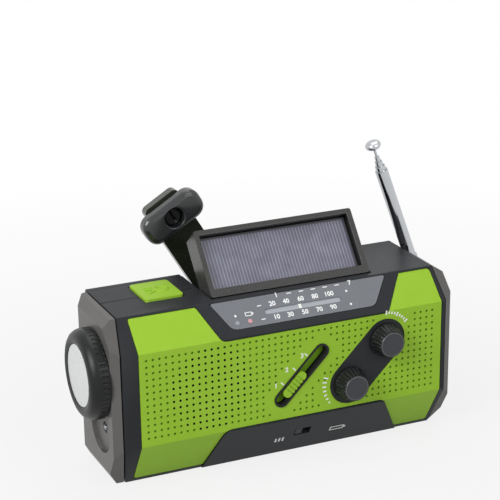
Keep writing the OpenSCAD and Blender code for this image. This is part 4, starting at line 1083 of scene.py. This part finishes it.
class RADIO_OT_crank(bpy.types.Operator):
    """Hub, folding arm, grip and pins of the crank"""
    bl_idname = "radio.crank"
    bl_label = "Crank"

    def execute(self, context):
        soften("crank_hub", "arm", width=0.4, angle=30, shortest=0.6, segments=3)
        soften("crank_arm", "arm", width=0.9, angle=30, shortest=1.5, segments=3)
        grip = soften("crank_knob", "grip", width=0.5, angle=30, shortest=0.3, segments=3,
                      shade=50)
        rounded_off(grip, cell_mm=0.22, rounds=45)
        soften("knob_pin", "black", width=0.2, angle=30, shortest=0.2)
        paint("steel", "fold_pin")
        return {"FINISHED"}


BLANK_H = 5.2                        # height of the solid's blank for the antenna's button
BLANK_DRAW = 0.6                     # the blank is drawn in to this share, inside the button
ROD_R = 1.5                          # the rod below the blank is slimmer than this
BUTTON_NECK = 1.5                    # how much longer the rod shows than in the solid
BUTTON_R, BUTTON_RISE, BUTTON_MID = 3.4, 1.9, 1.75
BUTTON_FOOT = (1.2, -0.1)
BUTTON_STEPS = [-62 + 12.5 * i for i in range(13)]
BUTTON_BULGE = 0.7                   # below 1, the button's side is fuller than an ellipse


class RADIO_OT_antenna(bpy.types.Operator):
    """Swivel, tubes and tip of the antenna"""
    bl_idname = "radio.antenna"
    bl_label = "Antenna"

    def execute(self, context):
        soften("antenna_base", "chrome", width=0.3, angle=30, shortest=0.4)
        for n in range(1, 5):
            soften(f"antenna_tube_{n}", "chrome", width=0.08, angle=40, shortest=0.0)
        self.button(soften("antenna_tip", "chrome", width=0.1, angle=40, shortest=0.0))
        paint("steel", "antenna_pin")
        return {"FINISHED"}

    def button(self, tip):
        """The button on the antenna's end: the solid's blank drawn in, a flattened ball over it."""
        depth = Vector((0, 1, 0))
        axis = Vector((-math.sin(ANTENNA_LEAN), 0, math.cos(ANTENNA_LEAN)))
        side = depth.cross(axis)
        points = [v.co for v in frame["nodes"]["antenna_tip"].data.vertices]
        low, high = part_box("antenna_tip")
        across = [side.dot(c) for c in points]
        middle = (max(across) + min(across)) / 2 * side + (low.y + high.y) / 2 * depth
        foot = middle + (max(axis.dot(c) for c in points) - BLANK_H * MM) * axis
        raised = foot + axis * BUTTON_NECK * MM

        def on_blank(vert):
            arm = vert.co - raised
            rise = arm.dot(axis)
            return rise > -0.05 * MM and (arm - rise * axis).length > ROD_R * MM

        select_only(tip)
        bpy.ops.object.mode_set(mode="EDIT")
        pick(tip, "verts", lambda vert: (vert.co - foot).dot(axis) > -0.15 * MM)
        bpy.ops.transform.translate(value=raised - foot)
        pick(tip, "verts", on_blank)
        bpy.ops.transform.resize(value=(BLANK_DRAW,) * 3, center_override=raised)
        bpy.ops.object.mode_set(mode="OBJECT")
        profile = [BUTTON_FOOT]
        for degrees in BUTTON_STEPS:
            turn = math.radians(degrees)
            profile.append((BUTTON_R * math.cos(turn) ** BUTTON_BULGE,
                            BUTTON_MID + BUTTON_RISE * math.sin(turn)))
        ball = turned(profile, 64)
        bpy.ops.object.shade_smooth()
        place = Matrix((side, depth, axis)).transposed().to_4x4()
        place.translation = raised
        settle(ball, place @ Matrix.Scale(MM, 4), "antenna_end", "chrome", "antenna_button")


LENS_FRONT = TORCH_H - 0.6           # nearly flush with the bezel's crest
LENS_RING = ((14.0, -1.4), (14.0, 0.0), (13.7, 0.25), (13.3, 0.3), (13.0, 0.2), (12.85, -0.3),
             (12.5, -0.4))
LENS_FACE = ((12.7, -0.6), (12.7, -0.2), (12.5, 0.0), (11.0, 0.12), (8.5, 0.26), (5.5, 0.36),
             (2.5, 0.42), (0.4, 0.43))


class RADIO_OT_torch(bpy.types.Operator):
    """Bezel, lens, reflector and light of the torch"""
    bl_idname = "radio.torch"
    bl_label = "Torch"

    def execute(self, context):
        soften("torch_bezel", "bezel", width=0.4, angle=14, shortest=0.9, shade=40)
        soften("torch_lens", "lens", width=0.2, angle=15, shortest=0.0)
        # the lens's domed white face and the black ring that holds it
        place = plane_frame((CAP_FACE, TORCH_Y, TORCH_Z), (0, -1, 0), (0, 0, 1))
        for name, key, profile in (("torch_lens_ring", "bezel", LENS_RING),
                                   ("torch_lens_face", "lens", LENS_FACE)):
            piece = turned([(r, LENS_FRONT + z) for r, z in profile], 96)
            settle(piece, place, "case", key, name)
        paint("mirror", "torch_reflector")
        paint("white", "torch_board")
        return {"FINISHED"}


class RADIO_OT_inside(bpy.types.Operator):
    """Finishes of the pieces behind the walls"""
    bl_idname = "radio.inside"
    bl_label = "Inside"

    def execute(self, context):
        paint("acetal", "crank_gear", "idler_gear", "tuning_capacitor")
        paint("brass", "generator_rotor", "crank_bush", "aaa_cells")
        paint("steel", "generator_body", "volume_pot", "battery_contacts", "usb_sockets",
              "speaker_frame")
        paint("black", "band_switch", "source_switch_body", "lamp_switch", "gearbox_plate")
        paint("paper", "speaker_cone")
        paint("board", "main_board")
        paint("sleeve", "lithium_cell")
        return {"FINISHED"}


class RADIO_PT_panel(bpy.types.Panel):
    """Lists the radio's settings and pieces"""
    bl_idname = "RADIO_PT_panel"
    bl_label = "Radio"
    bl_space_type = "VIEW_3D"
    bl_region_type = "UI"
    bl_category = "Radio"

    def draw(self, context):
        for name in RadioLook.__annotations__:
            self.layout.prop(context.scene.radio_look, name)
        for operator in STEPS:
            self.layout.operator(operator.bl_idname)


STEPS = (RADIO_OT_stage, RADIO_OT_housing, RADIO_OT_fascia, RADIO_OT_dial, RADIO_OT_controls,
         RADIO_OT_solar_flap, RADIO_OT_crank, RADIO_OT_antenna, RADIO_OT_torch, RADIO_OT_inside)
CLASSES = (RadioLook, *STEPS, RADIO_PT_panel)


def register():
    for cls in CLASSES:
        bpy.utils.register_class(cls)
    bpy.types.Scene.radio_look = PointerProperty(type=RadioLook)


def unregister():
    del bpy.types.Scene.radio_look
    for cls in reversed(CLASSES):
        bpy.utils.unregister_class(cls)


def main():
    register()
    make_finishes(bpy.context.scene.radio_look)
    bpy.ops.radio.stage()
    bpy.ops.radio.housing()
    bpy.ops.radio.fascia()
    bpy.ops.radio.dial()
    bpy.ops.radio.controls()
    bpy.ops.radio.solar_flap()
    bpy.ops.radio.crank()
    bpy.ops.radio.antenna()
    bpy.ops.radio.torch()
    bpy.ops.radio.inside()


if __name__ == "__main__":
    main()
